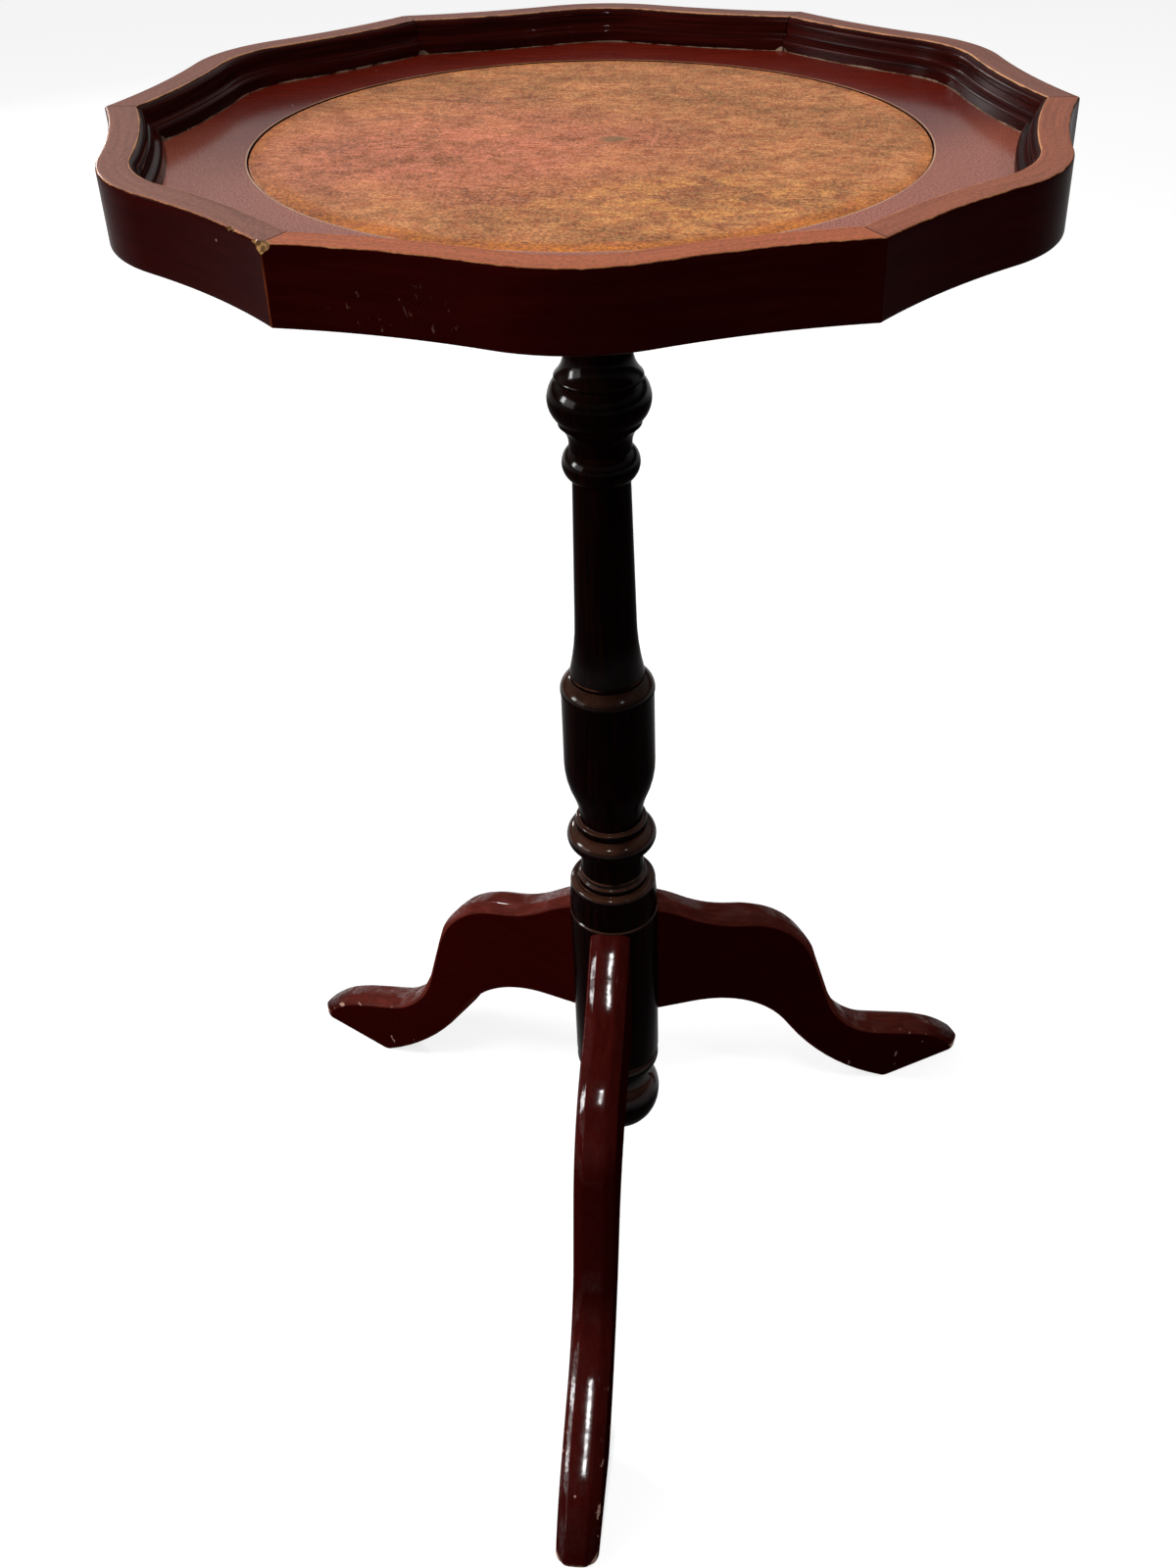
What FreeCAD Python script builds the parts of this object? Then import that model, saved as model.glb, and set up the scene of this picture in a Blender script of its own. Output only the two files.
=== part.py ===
"""Pedestal end table: a scalloped tray top on a turned column and three cabriole legs.

The origin is on the floor under the column's axis, with +Z up and the front leg toward -Y.
All sizes are in millimetres and live in the sheet "sizes".
"""
import FreeCAD, Part
import math
import os

import Sketcher
from FreeCAD import Vector

RIM_COUNT = 6
LEG_COUNT = 3
CLEAT_SCREW_COUNT = 4
MITRE_DEGREES = 180.0 / RIM_COUNT
RIM_NAMES = ("rim_back_right", "rim_back", "rim_back_left", "rim_front_left", "rim_front", "rim_front_right")
LEG_NAMES = ("leg_right", "leg_left", "leg_front")
FIRST_LEG_DEGREES = 30.0

DRIVING_SIZES = (
    ("table_height", 520.0, "floor to the rim's top"),
    ("top_turn", 4.3, "degrees that the top is turned on the column"),
    ("corner_radius", 157.0, "axis to the rim's outer corners"),
    ("crown_radius", 156.4, "axis to the middle of each rim segment's bow"),
    ("bow_radius", 53.0, "plan radius of the bow in the middle of a segment"),
    ("sweep_radius", 230.0, "plan radius of the hollow sweep from bow to corner"),
    ("rim_height", 22.6, "height of the rim's outer face"),
    ("rim_flat", 9.6, "width of the rim's flat top"),
    ("rim_arris", 0.7, "small chamfer along the rim's outer edges"),
    ("quirk_drop", 0.5, "step from the flat down to the ovolo"),
    ("ovolo_radius", 2.0, "quarter round under the flat"),
    ("ovolo_drop", 1.1, "straight face under the ovolo"),
    ("ledge_width", 0.5, "small ledge under the straight face"),
    ("ledge_drop", 1.8, "straight face under the ledge"),
    ("hollow_radius", 1.5, "hollow half of the lower moulding"),
    ("round_radius", 1.6, "round half of the lower moulding"),
    ("well_depth", 11.8, "rim's top down to the panel's surface"),
    ("mitre_overrun", 12.0, "length swept past the mitre before it is cut"),
    ("mitre_waste", 40.0, "width of the waste cut off at the mitre"),
    ("spline_width", 5.0, "mitre spline, along the mitre"),
    ("spline_length", 9.0, "mitre spline, across the mitre"),
    ("spline_thickness", 2.5, "mitre spline, upright"),
    ("spline_inset", 6.4, "corner to the spline's middle, along the mitre"),
    ("spline_lift", 4.4, "rim's underside to the spline's underside"),
    ("panel_thickness", 10.0, "board under the moulding"),
    ("leather_radius", 109.8, "leather disc"),
    ("leather_thickness", 1.2, "leather disc"),
    ("recess_depth", 1.5, "recess for the leather"),
    ("leather_gap", 0.4, "recess wall to the leather's edge"),
    ("glue_gap", 0.15, "clearance of glued wood joints"),
    ("cleat_width", 84.0, "square block under the top"),
    ("cleat_thickness", 18.0, "square block under the top"),
    ("cleat_chamfer", 7.0, "chamfer of the block's lower edges"),
    ("screw_circle", 42.0, "axis to the cleat's screws"),
    ("screw_radius", 2.0, "shank of every wood screw"),
    ("screw_head_radius", 4.0, "countersunk head"),
    ("screw_tip", 5.0, "length of a screw's point"),
    ("screw_length", 24.5, "cleat screw, head to point"),
    ("centre_screw_length", 34.0, "centre screw, head to point"),
    ("screw_gap", 0.1, "clearance round a screw"),
    ("tenon_radius", 11.0, "tenon on the column's top"),
    ("tenon_relief", 0.4, "tenon's end to the panel's underside"),
    ("capital_radius", 19.1, "disc under the cleat"),
    ("capital_height", 7.0, "disc under the cleat"),
    ("capital_slope", 5.5, "sloping underside of the disc"),
    ("upper_shaft_radius", 13.2, "upper shaft under the disc"),
    ("upper_shaft_height", 30.0, "upper shaft"),
    ("upper_neck_radius", 12.4, "foot of the upper shaft"),
    ("upper_cove_height", 10.5, "cove above the knop"),
    ("knop_fillet_radius", 16.3, "fillet above the knop"),
    ("knop_fillet_height", 1.0, "fillet above the knop"),
    ("knop_base_radius", 15.8, "knop where it meets its fillets"),
    ("knop_bulge", 3.2, "knop's swelling"),
    ("knop_height", 15.5, "knop"),
    ("collar_fillet_radius", 15.4, "fillet under the knop"),
    ("collar_fillet_height", 2.0, "fillet under the knop"),
    ("collar_cove_height", 7.0, "cove under the fillet"),
    ("collar_neck_radius", 11.7, "neck under the cove"),
    ("collar_neck_height", 2.0, "neck under the cove"),
    ("collar_bead_height", 12.0, "bead over the shaft"),
    ("collar_bead_bulge", 2.9, "bead's swelling"),
    ("shaft_top_radius", 10.95, "slender shaft, upper end"),
    ("shaft_foot_radius", 12.2, "slender shaft above its flare"),
    ("shaft_flare_height", 25.0, "flare at the shaft's foot"),
    ("flare_foot_radius", 15.0, "foot of the flare"),
    ("flare_fillet_height", 2.4, "fillet under the flare"),
    ("vase_shoulder_height", 9.6, "rounded top of the vase"),
    ("vase_top_radius", 18.85, "vase under its shoulder"),
    ("vase_body_height", 32.0, "nearly straight body of the vase"),
    ("vase_radius", 19.0, "vase at its widest"),
    ("vase_foot_height", 30.0, "curved foot of the vase"),
    ("vase_foot_share", 0.43, "hollow part of the vase's foot, of its height"),
    ("vase_neck_radius", 13.2, "neck under the vase"),
    ("disc_radius", 15.2, "thin disc over the ring"),
    ("disc_height", 3.5, "thin disc over the ring"),
    ("disc_quirk", 1.0, "quirk between disc and ring"),
    ("ring_height", 10.0, "half-round ring"),
    ("ring_bulge", 4.9, "ring's swelling"),
    ("waist_radius", 14.2, "waist under the ring"),
    ("waist_height", 16.0, "waist under the ring"),
    ("waist_hollow", 0.6, "hollow of the waist"),
    ("hub_fillet_radius", 14.9, "fillet over the hub"),
    ("hub_fillet_height", 2.5, "fillet over the hub"),
    ("hub_shoulder_height", 12.5, "rounded top of the hub"),
    ("hub_shoulder_drop", 2.9, "fall of the rounded top"),
    ("hub_collar_height", 4.6, "straight collar over the scribed line"),
    ("hub_radius", 19.1, "hub that carries the legs"),
    ("hub_line_width", 1.4, "scribed line over the legs"),
    ("hub_line_depth", 0.7, "scribed line over the legs"),
    ("hub_rise", 3.2, "legs' top to the scribed line"),
    ("hub_tail", 21.9, "legs' underside to the hub's lower end"),
    ("drop_bead_height", 9.4, "bead under the hub"),
    ("drop_bead_bulge", 4.5, "bead's swelling"),
    ("drop_neck_radius", 14.5, "neck over the ball"),
    ("drop_neck_height", 8.0, "neck over the ball"),
    ("ball_radius", 19.2, "ball drop"),
    ("leg_top", 172.2, "floor to the leg's upper edge at the hub"),
    ("leg_bottom", 110.2, "floor to the leg's lower edge at the hub"),
    ("leg_thickness", 17.5, "board that the legs are sawn from"),
    ("leg_edge", 2.2, "rounding along the leg's edges"),
    ("leg_reach", 194.0, "axis to the toe"),
    ("heel_reach", 152.3, "axis to the heel"),
    ("root_slope", 30.0, "degrees, fall of the upper edge at the hub"),
    ("shoulder_radius", 100.0, "round of the upper edge beside the hub"),
    ("shoulder_span", 10.0, "degrees of that round"),
    ("saddle_radius", 95.0, "hollow before the knee"),
    ("saddle_span", 21.0, "degrees of that hollow"),
    ("knee_radius", 62.0, "round of the knee"),
    ("knee_span", 54.0, "degrees of that round"),
    ("ankle_radius", 63.0, "hollow of the ankle"),
    ("ankle_span", 46.5, "degrees of that hollow"),
    ("instep_radius", 67.0, "round of the foot's upper side"),
    ("instep_span", 27.0, "degrees of that round"),
    ("toe_radius", 2.8, "rounding of the toe"),
    ("arch_slope", 12.0, "degrees, fall of the lower edge at the hub"),
    ("arch_radius", 80.0, "arch under the knee"),
    ("arch_span", 48.0, "degrees of the arch"),
    ("calf_radius", 200.0, "long round from the arch to the heel"),
    ("calf_span", 24.7, "degrees of that round"),
    ("heel_radius", 8.0, "rounding of the heel"),
    ("dowel_radius", 4.0, "leg dowel"),
    ("dowel_start", 6.0, "axis to the dowels' inner ends"),
    ("dowel_length", 30.0, "leg dowel"),
    ("dowel_rise", 15.0, "legs' underside to the lower dowel"),
    ("dowel_drop", 22.0, "legs' top to the upper dowel"),
    ("dowel_gap", 0.1, "clearance round a dowel"),
    ("dowel_end_gap", 0.6, "clearance past a dowel's ends"),
)


class Size:
    """A number together with the sheet formula that gives it."""

    def __init__(self, number, formula=None):
        self.number = float(number)
        self.formula = repr(self.number) if formula is None else formula

    def combine(self, other, sign, number):
        return Size(number, f"({self.formula} {sign} {sized(other).formula})")

    def __add__(self, other):
        return self.combine(other, "+", self.number + sized(other).number)

    def __sub__(self, other):
        return self.combine(other, "-", self.number - sized(other).number)

    def __mul__(self, other):
        return self.combine(other, "*", self.number * sized(other).number)

    def __truediv__(self, other):
        return self.combine(other, "/", self.number / sized(other).number)

    def __neg__(self):
        return Size(-self.number, f"(-{self.formula})")

    def root(self):
        return Size(math.sqrt(self.number), f"sqrt({self.formula})")

    def sine(self):
        return Size(math.sin(math.radians(self.number)), f"sin({self.formula})")

    def cosine(self):
        return Size(math.cos(math.radians(self.number)), f"cos({self.formula})")


def sized(value):
    """Give a plain number the form of a size."""
    return value if isinstance(value, Size) else Size(value)


def write_sheet(doc):
    """Write the driving sizes to the sheet and return them by name."""
    sheet = doc.addObject("Spreadsheet::Sheet", "sizes")
    sizes = {}
    for row, (name, number, note) in enumerate(DRIVING_SIZES, start=1):
        sheet.set(f"A{row}", name)
        sheet.set(f"B{row}", str(number))
        sheet.setAlias(f"B{row}", name)
        sheet.set(f"C{row}", note)
    doc.recompute()
    for name, _number, _note in DRIVING_SIZES:
        sizes[name] = Size(sheet.get(name), f"sizes.{name}")
    return sizes


def arc_radius(run, rise):
    """Radius of an arc that leaves its tangent by rise over the length run."""
    return (run * run + rise * rise) / (rise * 2)


def origin_feature(body, role):
    """Find an axis or plane of a body's own origin."""
    return next(part for part in body.Origin.OriginFeatures if part.Role == role)


def new_body(doc, label):
    body = doc.addObject("PartDesign::Body", label)
    body.Label = label
    return body


def new_sketch(body, name, plane, lift=None):
    """Start a sketch on one of the body's origin planes, moved along its normal by lift."""
    sketch = body.newObject("Sketcher::SketchObject", name)
    sketch.AttachmentSupport = (origin_feature(body, plane), [""])
    sketch.MapMode = "FlatFace"
    if lift is not None:
        sketch.setExpression("AttachmentOffset.Base.z", lift.formula)
    return sketch


def bind(sketch, kind, target, size):
    """Add a dimension to a sketch and tie it to its size."""
    index = sketch.addConstraint(Sketcher.Constraint(kind, *target, size.number))
    sketch.setExpression(f"Constraints[{index}]", size.formula)


def bind_angle(sketch, target, degrees):
    """Add an angle in degrees to a sketch and tie it to its size."""
    index = sketch.addConstraint(Sketcher.Constraint("Angle", *target, math.radians(degrees.number)))
    sketch.setExpression(f"Constraints[{index}]", f"{degrees.formula} * 1 deg")


def pin(sketch, curve, end, across, along):
    """Hold one point of a sketch at its place, on an axis where a coordinate is zero."""
    for kind, axis, size in (("DistanceX", -2, sized(across)), ("DistanceY", -1, sized(along))):
        if size.number == 0.0:
            sketch.addConstraint(Sketcher.Constraint("PointOnObject", curve, end, axis))
        else:
            bind(sketch, kind, (-1, 1, curve, end), size)


def add_circle(sketch, across, along, radius):
    """Draw a full circle, held at its place."""
    centre = Vector(sized(across).number, sized(along).number, 0)
    curve = sketch.addGeometry(Part.Circle(centre, Vector(0, 0, 1), radius.number), False)
    pin(sketch, curve, 3, across, along)
    bind(sketch, "Radius", (curve,), radius)


class Outline:
    """A closed outline of straight edges and arcs, with every corner tied to its sizes."""

    def __init__(self, sketch):
        self.sketch = sketch
        self.corners = []

    def corner(self, across, along, radius=None, turn=1):
        """Add a corner, reached by a straight edge or by an arc (turn 1 left, -1 right)."""
        self.corners.append((sized(across), sized(along), radius, turn))

    def edge(self, start, end):
        """Make the curve that reaches end from start, with its first and last point numbers."""
        here = Vector(start[0].number, start[1].number, 0)
        there = Vector(end[0].number, end[1].number, 0)
        if end[2] is None:
            return Part.LineSegment(here, there), 1, 2
        radius, turn = end[2].number, end[3]
        chord = there - here
        reach = math.sqrt(max(radius ** 2 - (chord.Length / 2) ** 2, 0.0))
        side = Vector(-chord.y, chord.x, 0).normalize()
        centre = (here + there) * 0.5 + side * (reach * turn)
        first, last = (here, there) if turn > 0 else (there, here)
        angles = [math.atan2(point.y - centre.y, point.x - centre.x) for point in (first, last)]
        arc = Part.ArcOfCircle(Part.Circle(centre, Vector(0, 0, 1), radius), *angles)
        return (arc, 1, 2) if turn > 0 else (arc, 2, 1)

    def close(self):
        """Draw the outline and tie its corners and radii to their sizes."""
        count = len(self.corners)
        edges = [self.edge(self.corners[k], self.corners[(k + 1) % count]) for k in range(count)]
        first = self.sketch.addGeometry([edge[0] for edge in edges], False)[0]
        for k in range(count):
            following = (k + 1) % count
            joint = (first + k, edges[k][2], first + following, edges[following][1])
            self.sketch.addConstraint(Sketcher.Constraint("Coincident", *joint))
            pin(self.sketch, first + k, edges[k][1], self.corners[k][0], self.corners[k][1])
            if self.corners[following][2] is not None:
                bind(self.sketch, "Radius", (first + k,), self.corners[following][2])
        return self.sketch


def pad(body, sketch, length, symmetric=False):
    feature = body.newObject("PartDesign::Pad", f"{sketch.Name}_pad")
    feature.Profile = sketch
    feature.SideType = "Symmetric" if symmetric else "One side"
    feature.setExpression("Length", length.formula)
    return feature


def pocket(body, sketch, depth, upward=False):
    """Cut a sketch's outline to a depth, against its normal unless upward."""
    feature = body.newObject("PartDesign::Pocket", f"{sketch.Name}_pocket")
    feature.Profile = sketch
    feature.Reversed = upward
    feature.setExpression("Length", depth.formula)
    return feature


def cut_through(body, sketch):
    """Cut a sketch's outline right through the body, both ways."""
    feature = body.newObject("PartDesign::Pocket", f"{sketch.Name}_cut")
    feature.Profile = sketch
    feature.SideType = "Symmetric"
    feature.Type = "ThroughAll"
    return feature


def turn_solid(body, sketch, axis="V_Axis"):
    """Turn a sketch's outline about one of its own axes."""
    feature = body.newObject("PartDesign::Revolution", f"{sketch.Name}_turning")
    feature.Profile = sketch
    feature.ReferenceAxis = (sketch, [axis])
    feature.Angle = 360.0
    return feature


def repeat_round(body, features, count):
    """Repeat features evenly round the table's axis."""
    pattern = body.newObject("PartDesign::PolarPattern", f"{features[0].Name}_round")
    pattern.Originals = features
    pattern.Axis = (origin_feature(body, "Z_Axis"), [""])
    pattern.Angle = 360.0
    pattern.Occurrences = count
    body.Tip = pattern
    return pattern


def turn_body(body, degrees):
    """Set a body at its angle round the table's axis."""
    body.setExpression("Placement.Rotation.Angle", degrees.formula)


def crown_angle(z, segment=0):
    """Angle of a rim segment's crown round the axis, counted on from the back right one."""
    return z["top_turn"] + MITRE_DEGREES * (2 * segment + 1)


class Heights:
    """Heights that several pieces share."""

    def __init__(self, z):
        self.rim_top = z["table_height"]
        self.rim_bottom = self.rim_top - z["rim_height"]
        self.panel_top = self.rim_top - z["well_depth"]
        self.panel_bottom = self.panel_top - z["panel_thickness"]
        self.recess_floor = self.panel_top - z["recess_depth"]
        self.cleat_bottom = self.panel_bottom - z["cleat_thickness"]
        self.spline_bottom = self.rim_bottom + z["spline_lift"]
        self.lower_dowel = z["leg_bottom"] + z["dowel_rise"]
        self.upper_dowel = z["leg_top"] - z["dowel_drop"]


class BowedLine:
    """The rim's plan line in one segment: a bow in the middle and a hollow sweep to each corner."""

    def __init__(self, z, inset):
        self.sizes = z
        self.inset = inset
        self.bow_centre = z["crown_radius"] - z["bow_radius"]
        self.bow = z["bow_radius"] - inset
        self.sweep = z["sweep_radius"] + inset
        self.corner_out = z["corner_radius"] * math.cos(math.radians(MITRE_DEGREES))
        self.corner_along = z["corner_radius"] * math.sin(math.radians(MITRE_DEGREES))
        span = z["bow_radius"].number + z["sweep_radius"].number
        out = self.corner_out.number - self.bow_centre.number
        along = self.corner_along.number
        reach = math.hypot(out, along)
        share = (reach ** 2 + span ** 2 - z["sweep_radius"].number ** 2) / (2 * span * reach)
        self.bow_angle = math.atan2(along, out) - math.acos(share)
        heading = Vector(math.cos(self.bow_angle), math.sin(self.bow_angle), 0)
        self.centre = Vector(self.bow_centre.number, 0, 0)
        self.sweep_centre = self.centre + heading * span
        self.turning_point = self.centre + heading * self.bow.number

    def sweep_end(self, along):
        """Point of the sweep at a distance along the segment."""
        drop = math.sqrt(self.sweep.number ** 2 - (self.sweep_centre.y - along) ** 2)
        return Vector(self.sweep_centre.x - drop, along, 0)

    def mitre_end(self):
        """Point where the sweep meets the mitre line through the table's axis."""
        heading = Vector(math.cos(math.radians(MITRE_DEGREES)), math.sin(math.radians(MITRE_DEGREES)), 0)
        nearest = self.sweep_centre.dot(heading)
        offset = self.sweep_centre.Length ** 2 - nearest ** 2
        return heading * (nearest - math.sqrt(self.sweep.number ** 2 - offset))

    def bow_arc(self, low, high):
        circle = Part.Circle(self.centre, Vector(0, 0, 1), self.bow.number)
        return Part.ArcOfCircle(circle, low, high)

    def sweep_arc(self, end, side=1):
        """Arc from the turning point to an end point, mirrored where side is -1."""
        centre = Vector(self.sweep_centre.x, self.sweep_centre.y * side, 0)
        points = [Vector(point.x, point.y * side, 0) for point in (end, self.turning_point)]
        if side < 0:
            points.reverse()
        angles = [math.atan2(point.y - centre.y, point.x - centre.x) for point in points]
        return Part.ArcOfCircle(Part.Circle(centre, Vector(0, 0, 1), self.sweep.number), *angles)

    def hold_sweep(self, sketch, arc):
        """Tie a sweep's centre to the rim's outer corner, whatever the inset."""
        outer = Part.Circle(self.sweep_centre, Vector(0, 0, 1), self.sizes["sweep_radius"].number)
        circle = sketch.addGeometry(outer, True)
        corner = Vector(self.corner_out.number, self.corner_along.number, 0)
        point = sketch.addGeometry(Part.Point(corner), True)
        sketch.addConstraint(Sketcher.Constraint("Coincident", circle, 3, arc, 3))
        bind(sketch, "Radius", (circle,), self.sizes["sweep_radius"])
        pin(sketch, point, 1, self.corner_out, self.corner_along)
        sketch.addConstraint(Sketcher.Constraint("PointOnObject", point, 1, circle))


def rim_section(body, z, heights):
    """Draw the rim's section at the crown: flat, ovolo, ledge, reverse curve, lip and rebate."""
    outline = Outline(new_sketch(body, "section", "XZ_Plane"))
    outer, arris = z["crown_radius"], z["rim_arris"]
    inner, top = outer - z["rim_flat"], heights.rim_top
    outline.corner(outer - arris, top)
    outline.corner(inner, top)
    face, level = inner, top - z["quirk_drop"]
    outline.corner(face, level)
    face, level = face - z["ovolo_radius"], level - z["ovolo_radius"]
    outline.corner(face, level, z["ovolo_radius"], 1)
    level = level - z["ovolo_drop"]
    outline.corner(face, level)
    face = face - z["ledge_width"]
    outline.corner(face, level)
    level = level - z["ledge_drop"]
    outline.corner(face, level)
    face, level = face - z["hollow_radius"], level - z["hollow_radius"]
    outline.corner(face, level, z["hollow_radius"], -1)
    face, level = face - z["round_radius"], level - z["round_radius"]
    outline.corner(face, level, z["round_radius"], 1)
    outline.corner(face, heights.panel_top)
    outline.corner(inner, heights.panel_top)
    outline.corner(inner, heights.rim_bottom)
    outline.corner(outer - arris, heights.rim_bottom)
    outline.corner(outer, heights.rim_bottom + arris)
    outline.corner(outer, top - arris)
    return outline.close()


def rim_path(body, z):
    """Draw half of a segment's plan line, from its crown to a little past the mitre."""
    sketch = new_sketch(body, "plan_line", "XY_Plane")
    line = BowedLine(z, Size(0.0))
    end_along = line.corner_along + z["mitre_overrun"]
    end = line.sweep_end(end_along.number)
    bow, sweep = sketch.addGeometry([line.bow_arc(0.0, line.bow_angle), line.sweep_arc(end)], False)
    sketch.addConstraint(Sketcher.Constraint("Tangent", bow, 2, sweep, 2))
    pin(sketch, bow, 1, z["crown_radius"], 0)
    sketch.addConstraint(Sketcher.Constraint("PointOnObject", bow, 3, -1))
    bind(sketch, "Radius", (bow,), line.bow)
    bind(sketch, "Radius", (sweep,), line.sweep)
    line.hold_sweep(sketch, sweep)
    bind(sketch, "DistanceY", (-1, 1, sweep, 1), end_along)
    return sketch


def mitre_block(sketch, near, far, back, front):
    """Draw a block on the mitre line, from near to far along it and from back to front across it."""
    cosine, sine = math.cos(math.radians(MITRE_DEGREES)), math.sin(math.radians(MITRE_DEGREES))
    outline = Outline(sketch)
    for along, across in ((near, back), (far, back), (far, front), (near, front)):
        across = sized(across)
        outline.corner(along * cosine - across * sine, along * sine + across * cosine)
    return outline.close()


def build_rim_segment(doc, z, heights, label, segment):
    """Sweep the section along half the plan line, cut the mitre and spline slot, and mirror it."""
    body = new_body(doc, label)
    section = rim_section(body, z, heights)
    path = rim_path(body, z)
    moulding = body.newObject("PartDesign::AdditivePipe", "moulding")
    moulding.Profile = section
    moulding.Spine = (path, ["Edge1", "Edge2"])
    waste = new_sketch(body, "mitre", "XY_Plane")
    corner = z["corner_radius"]
    mitre_block(waste, corner - z["mitre_waste"], corner + z["mitre_waste"], 0, z["mitre_waste"])
    cut_through(body, waste)
    gap = z["glue_gap"]
    slot_top = heights.spline_bottom + z["spline_thickness"] + gap
    slot = new_sketch(body, "spline_slot", "XY_Plane", slot_top)
    middle = corner - z["spline_inset"]
    half_width = z["spline_width"] / 2 + gap
    half_length = z["spline_length"] / 2 + gap
    mitre_block(slot, middle - half_width, middle + half_width, -half_length, half_length)
    pocket(body, slot, z["spline_thickness"] + gap * 2)
    doc.recompute()
    halves = body.newObject("PartDesign::Mirrored", "both_halves")
    halves.TransformMode = "Whole shape"
    halves.MirrorPlane = (origin_feature(body, "XZ_Plane"), [""])
    body.Tip = halves
    turn_body(body, crown_angle(z, segment))
    return body


def build_rim_splines(doc, z, heights):
    """Lay a loose tongue across each mitre."""
    body = new_body(doc, "rim_splines")
    sketch = new_sketch(body, "spline", "XY_Plane", heights.spline_bottom)
    middle, half_width = z["corner_radius"] - z["spline_inset"], z["spline_width"] / 2
    half_length = z["spline_length"] / 2
    mitre_block(sketch, middle - half_width, middle + half_width, -half_length, half_length)
    tongue = pad(body, sketch, z["spline_thickness"])
    repeat_round(body, [tongue], RIM_COUNT)
    turn_body(body, crown_angle(z))
    return body


def panel_sector(body, z, heights):
    """Draw one sixth of the panel, out to its edge in the rim's rebate."""
    sketch = new_sketch(body, "sector", "XY_Plane", heights.panel_bottom)
    line = BowedLine(z, z["rim_flat"] + z["glue_gap"])
    end = line.mitre_end()
    low_end = Vector(end.x, -end.y, 0)
    centre = Vector(0, 0, 0)
    curves = [
        Part.LineSegment(centre, low_end),
        line.sweep_arc(end, -1),
        line.bow_arc(-line.bow_angle, line.bow_angle),
        line.sweep_arc(end),
        Part.LineSegment(end, centre),
    ]
    low_side, low_sweep, bow, high_sweep, high_side = sketch.addGeometry(curves, False)
    joints = (
        ("Coincident", low_side, 1, -1, 1),
        ("Coincident", low_side, 2, low_sweep, 2),
        ("Tangent", low_sweep, 1, bow, 1),
        ("Tangent", bow, 2, high_sweep, 2),
        ("Coincident", high_sweep, 1, high_side, 1),
        ("Coincident", high_side, 2, -1, 1),
        ("Symmetric", low_side, 2, high_side, 1, -1),
    )
    for joint in joints:
        sketch.addConstraint(Sketcher.Constraint(*joint))
    pin(sketch, bow, 3, line.bow_centre, 0)
    bind(sketch, "Radius", (bow,), line.bow)
    bind(sketch, "Radius", (low_sweep,), line.sweep)
    bind(sketch, "Radius", (high_sweep,), line.sweep)
    line.hold_sweep(sketch, high_sweep)
    bind_angle(sketch, (-1, 1, high_side, 2), Size(MITRE_DEGREES))
    return sketch


def build_panel(doc, z, heights):
    """Cut the board to the rim's rebate, with the leather's recess and the screw holes."""
    body = new_body(doc, "top_panel")
    sector = pad(body, panel_sector(body, z, heights), z["panel_thickness"])
    doc.recompute()
    repeat_round(body, [sector], RIM_COUNT)
    recess = new_sketch(body, "recess", "XY_Plane", heights.panel_top)
    add_circle(recess, 0, 0, z["leather_radius"] + z["leather_gap"])
    pocket(body, recess, z["recess_depth"])
    hole = Outline(new_sketch(body, "centre_hole", "XZ_Plane"))
    screw_hole(hole, z, Size(0.0), heights.recess_floor, -1, z["panel_thickness"])
    groove(body, hole.sketch)
    pilot = new_sketch(body, "pilot_hole", "XY_Plane", heights.panel_bottom)
    add_circle(pilot, z["screw_circle"], 0, z["screw_radius"] + z["screw_gap"])
    reach = z["screw_length"] - z["cleat_thickness"] + z["screw_gap"]
    holes = pocket(body, pilot, reach, upward=True)
    doc.recompute()
    repeat_round(body, [holes], CLEAT_SCREW_COUNT)
    turn_body(body, crown_angle(z))
    return body


def screw_hole(outline, z, centre, face, direction, depth):
    """Draw half a countersunk hole that enters a face, upward (1) or downward (-1)."""
    gap = z["screw_gap"]
    shank, head = centre + z["screw_radius"] + gap, centre + z["screw_head_radius"] + gap
    sink = z["screw_head_radius"] - z["screw_radius"]
    points = (
        (centre, face),
        (head, face),
        (head, face + gap * direction),
        (shank, face + (sink + gap) * direction),
        (shank, face + depth * direction),
        (centre, face + depth * direction),
    )
    for across, along in points if direction > 0 else reversed(points):
        outline.corner(across, along)
    outline.close()


def groove(body, sketch, axis="V_Axis"):
    """Cut away what a sketch's outline passes as it turns about an axis."""
    feature = body.newObject("PartDesign::Groove", f"{sketch.Name}_groove")
    feature.Profile = sketch
    feature.ReferenceAxis = (sketch, [axis])
    feature.Angle = 360.0
    return feature


def screw_outline(sketch, z, centre, head_face, length, direction):
    """Draw half a wood screw along the upright line at centre, pointing up (1) or down (-1)."""
    outline = Outline(sketch)
    shank, head = centre + z["screw_radius"], centre + z["screw_head_radius"]
    sink = z["screw_head_radius"] - z["screw_radius"]
    points = (
        (centre, head_face),
        (head, head_face),
        (shank, head_face + sink * direction),
        (shank, head_face + (length - z["screw_tip"]) * direction),
        (centre, head_face + length * direction),
    )
    for across, along in points if direction > 0 else reversed(points):
        outline.corner(across, along)
    return outline.close()


def upright_axis(sketch, z, across):
    """Add the upright line that a screw turns about, and name it as an axis."""
    line = Part.LineSegment(Vector(across.number, 0, 0), Vector(across.number, z["table_height"].number, 0))
    axis = sketch.addGeometry(line, True)
    pin(sketch, axis, 1, across, 0)
    pin(sketch, axis, 2, across, z["table_height"])
    return "Axis0"


def level_axis(sketch, level, reach):
    """Add the level line that a dowel turns about, and name it as an axis."""
    line = Part.LineSegment(Vector(0, level.number, 0), Vector(reach.number, level.number, 0))
    axis = sketch.addGeometry(line, True)
    pin(sketch, axis, 1, 0, level)
    pin(sketch, axis, 2, reach, level)
    return "Axis0"


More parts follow.
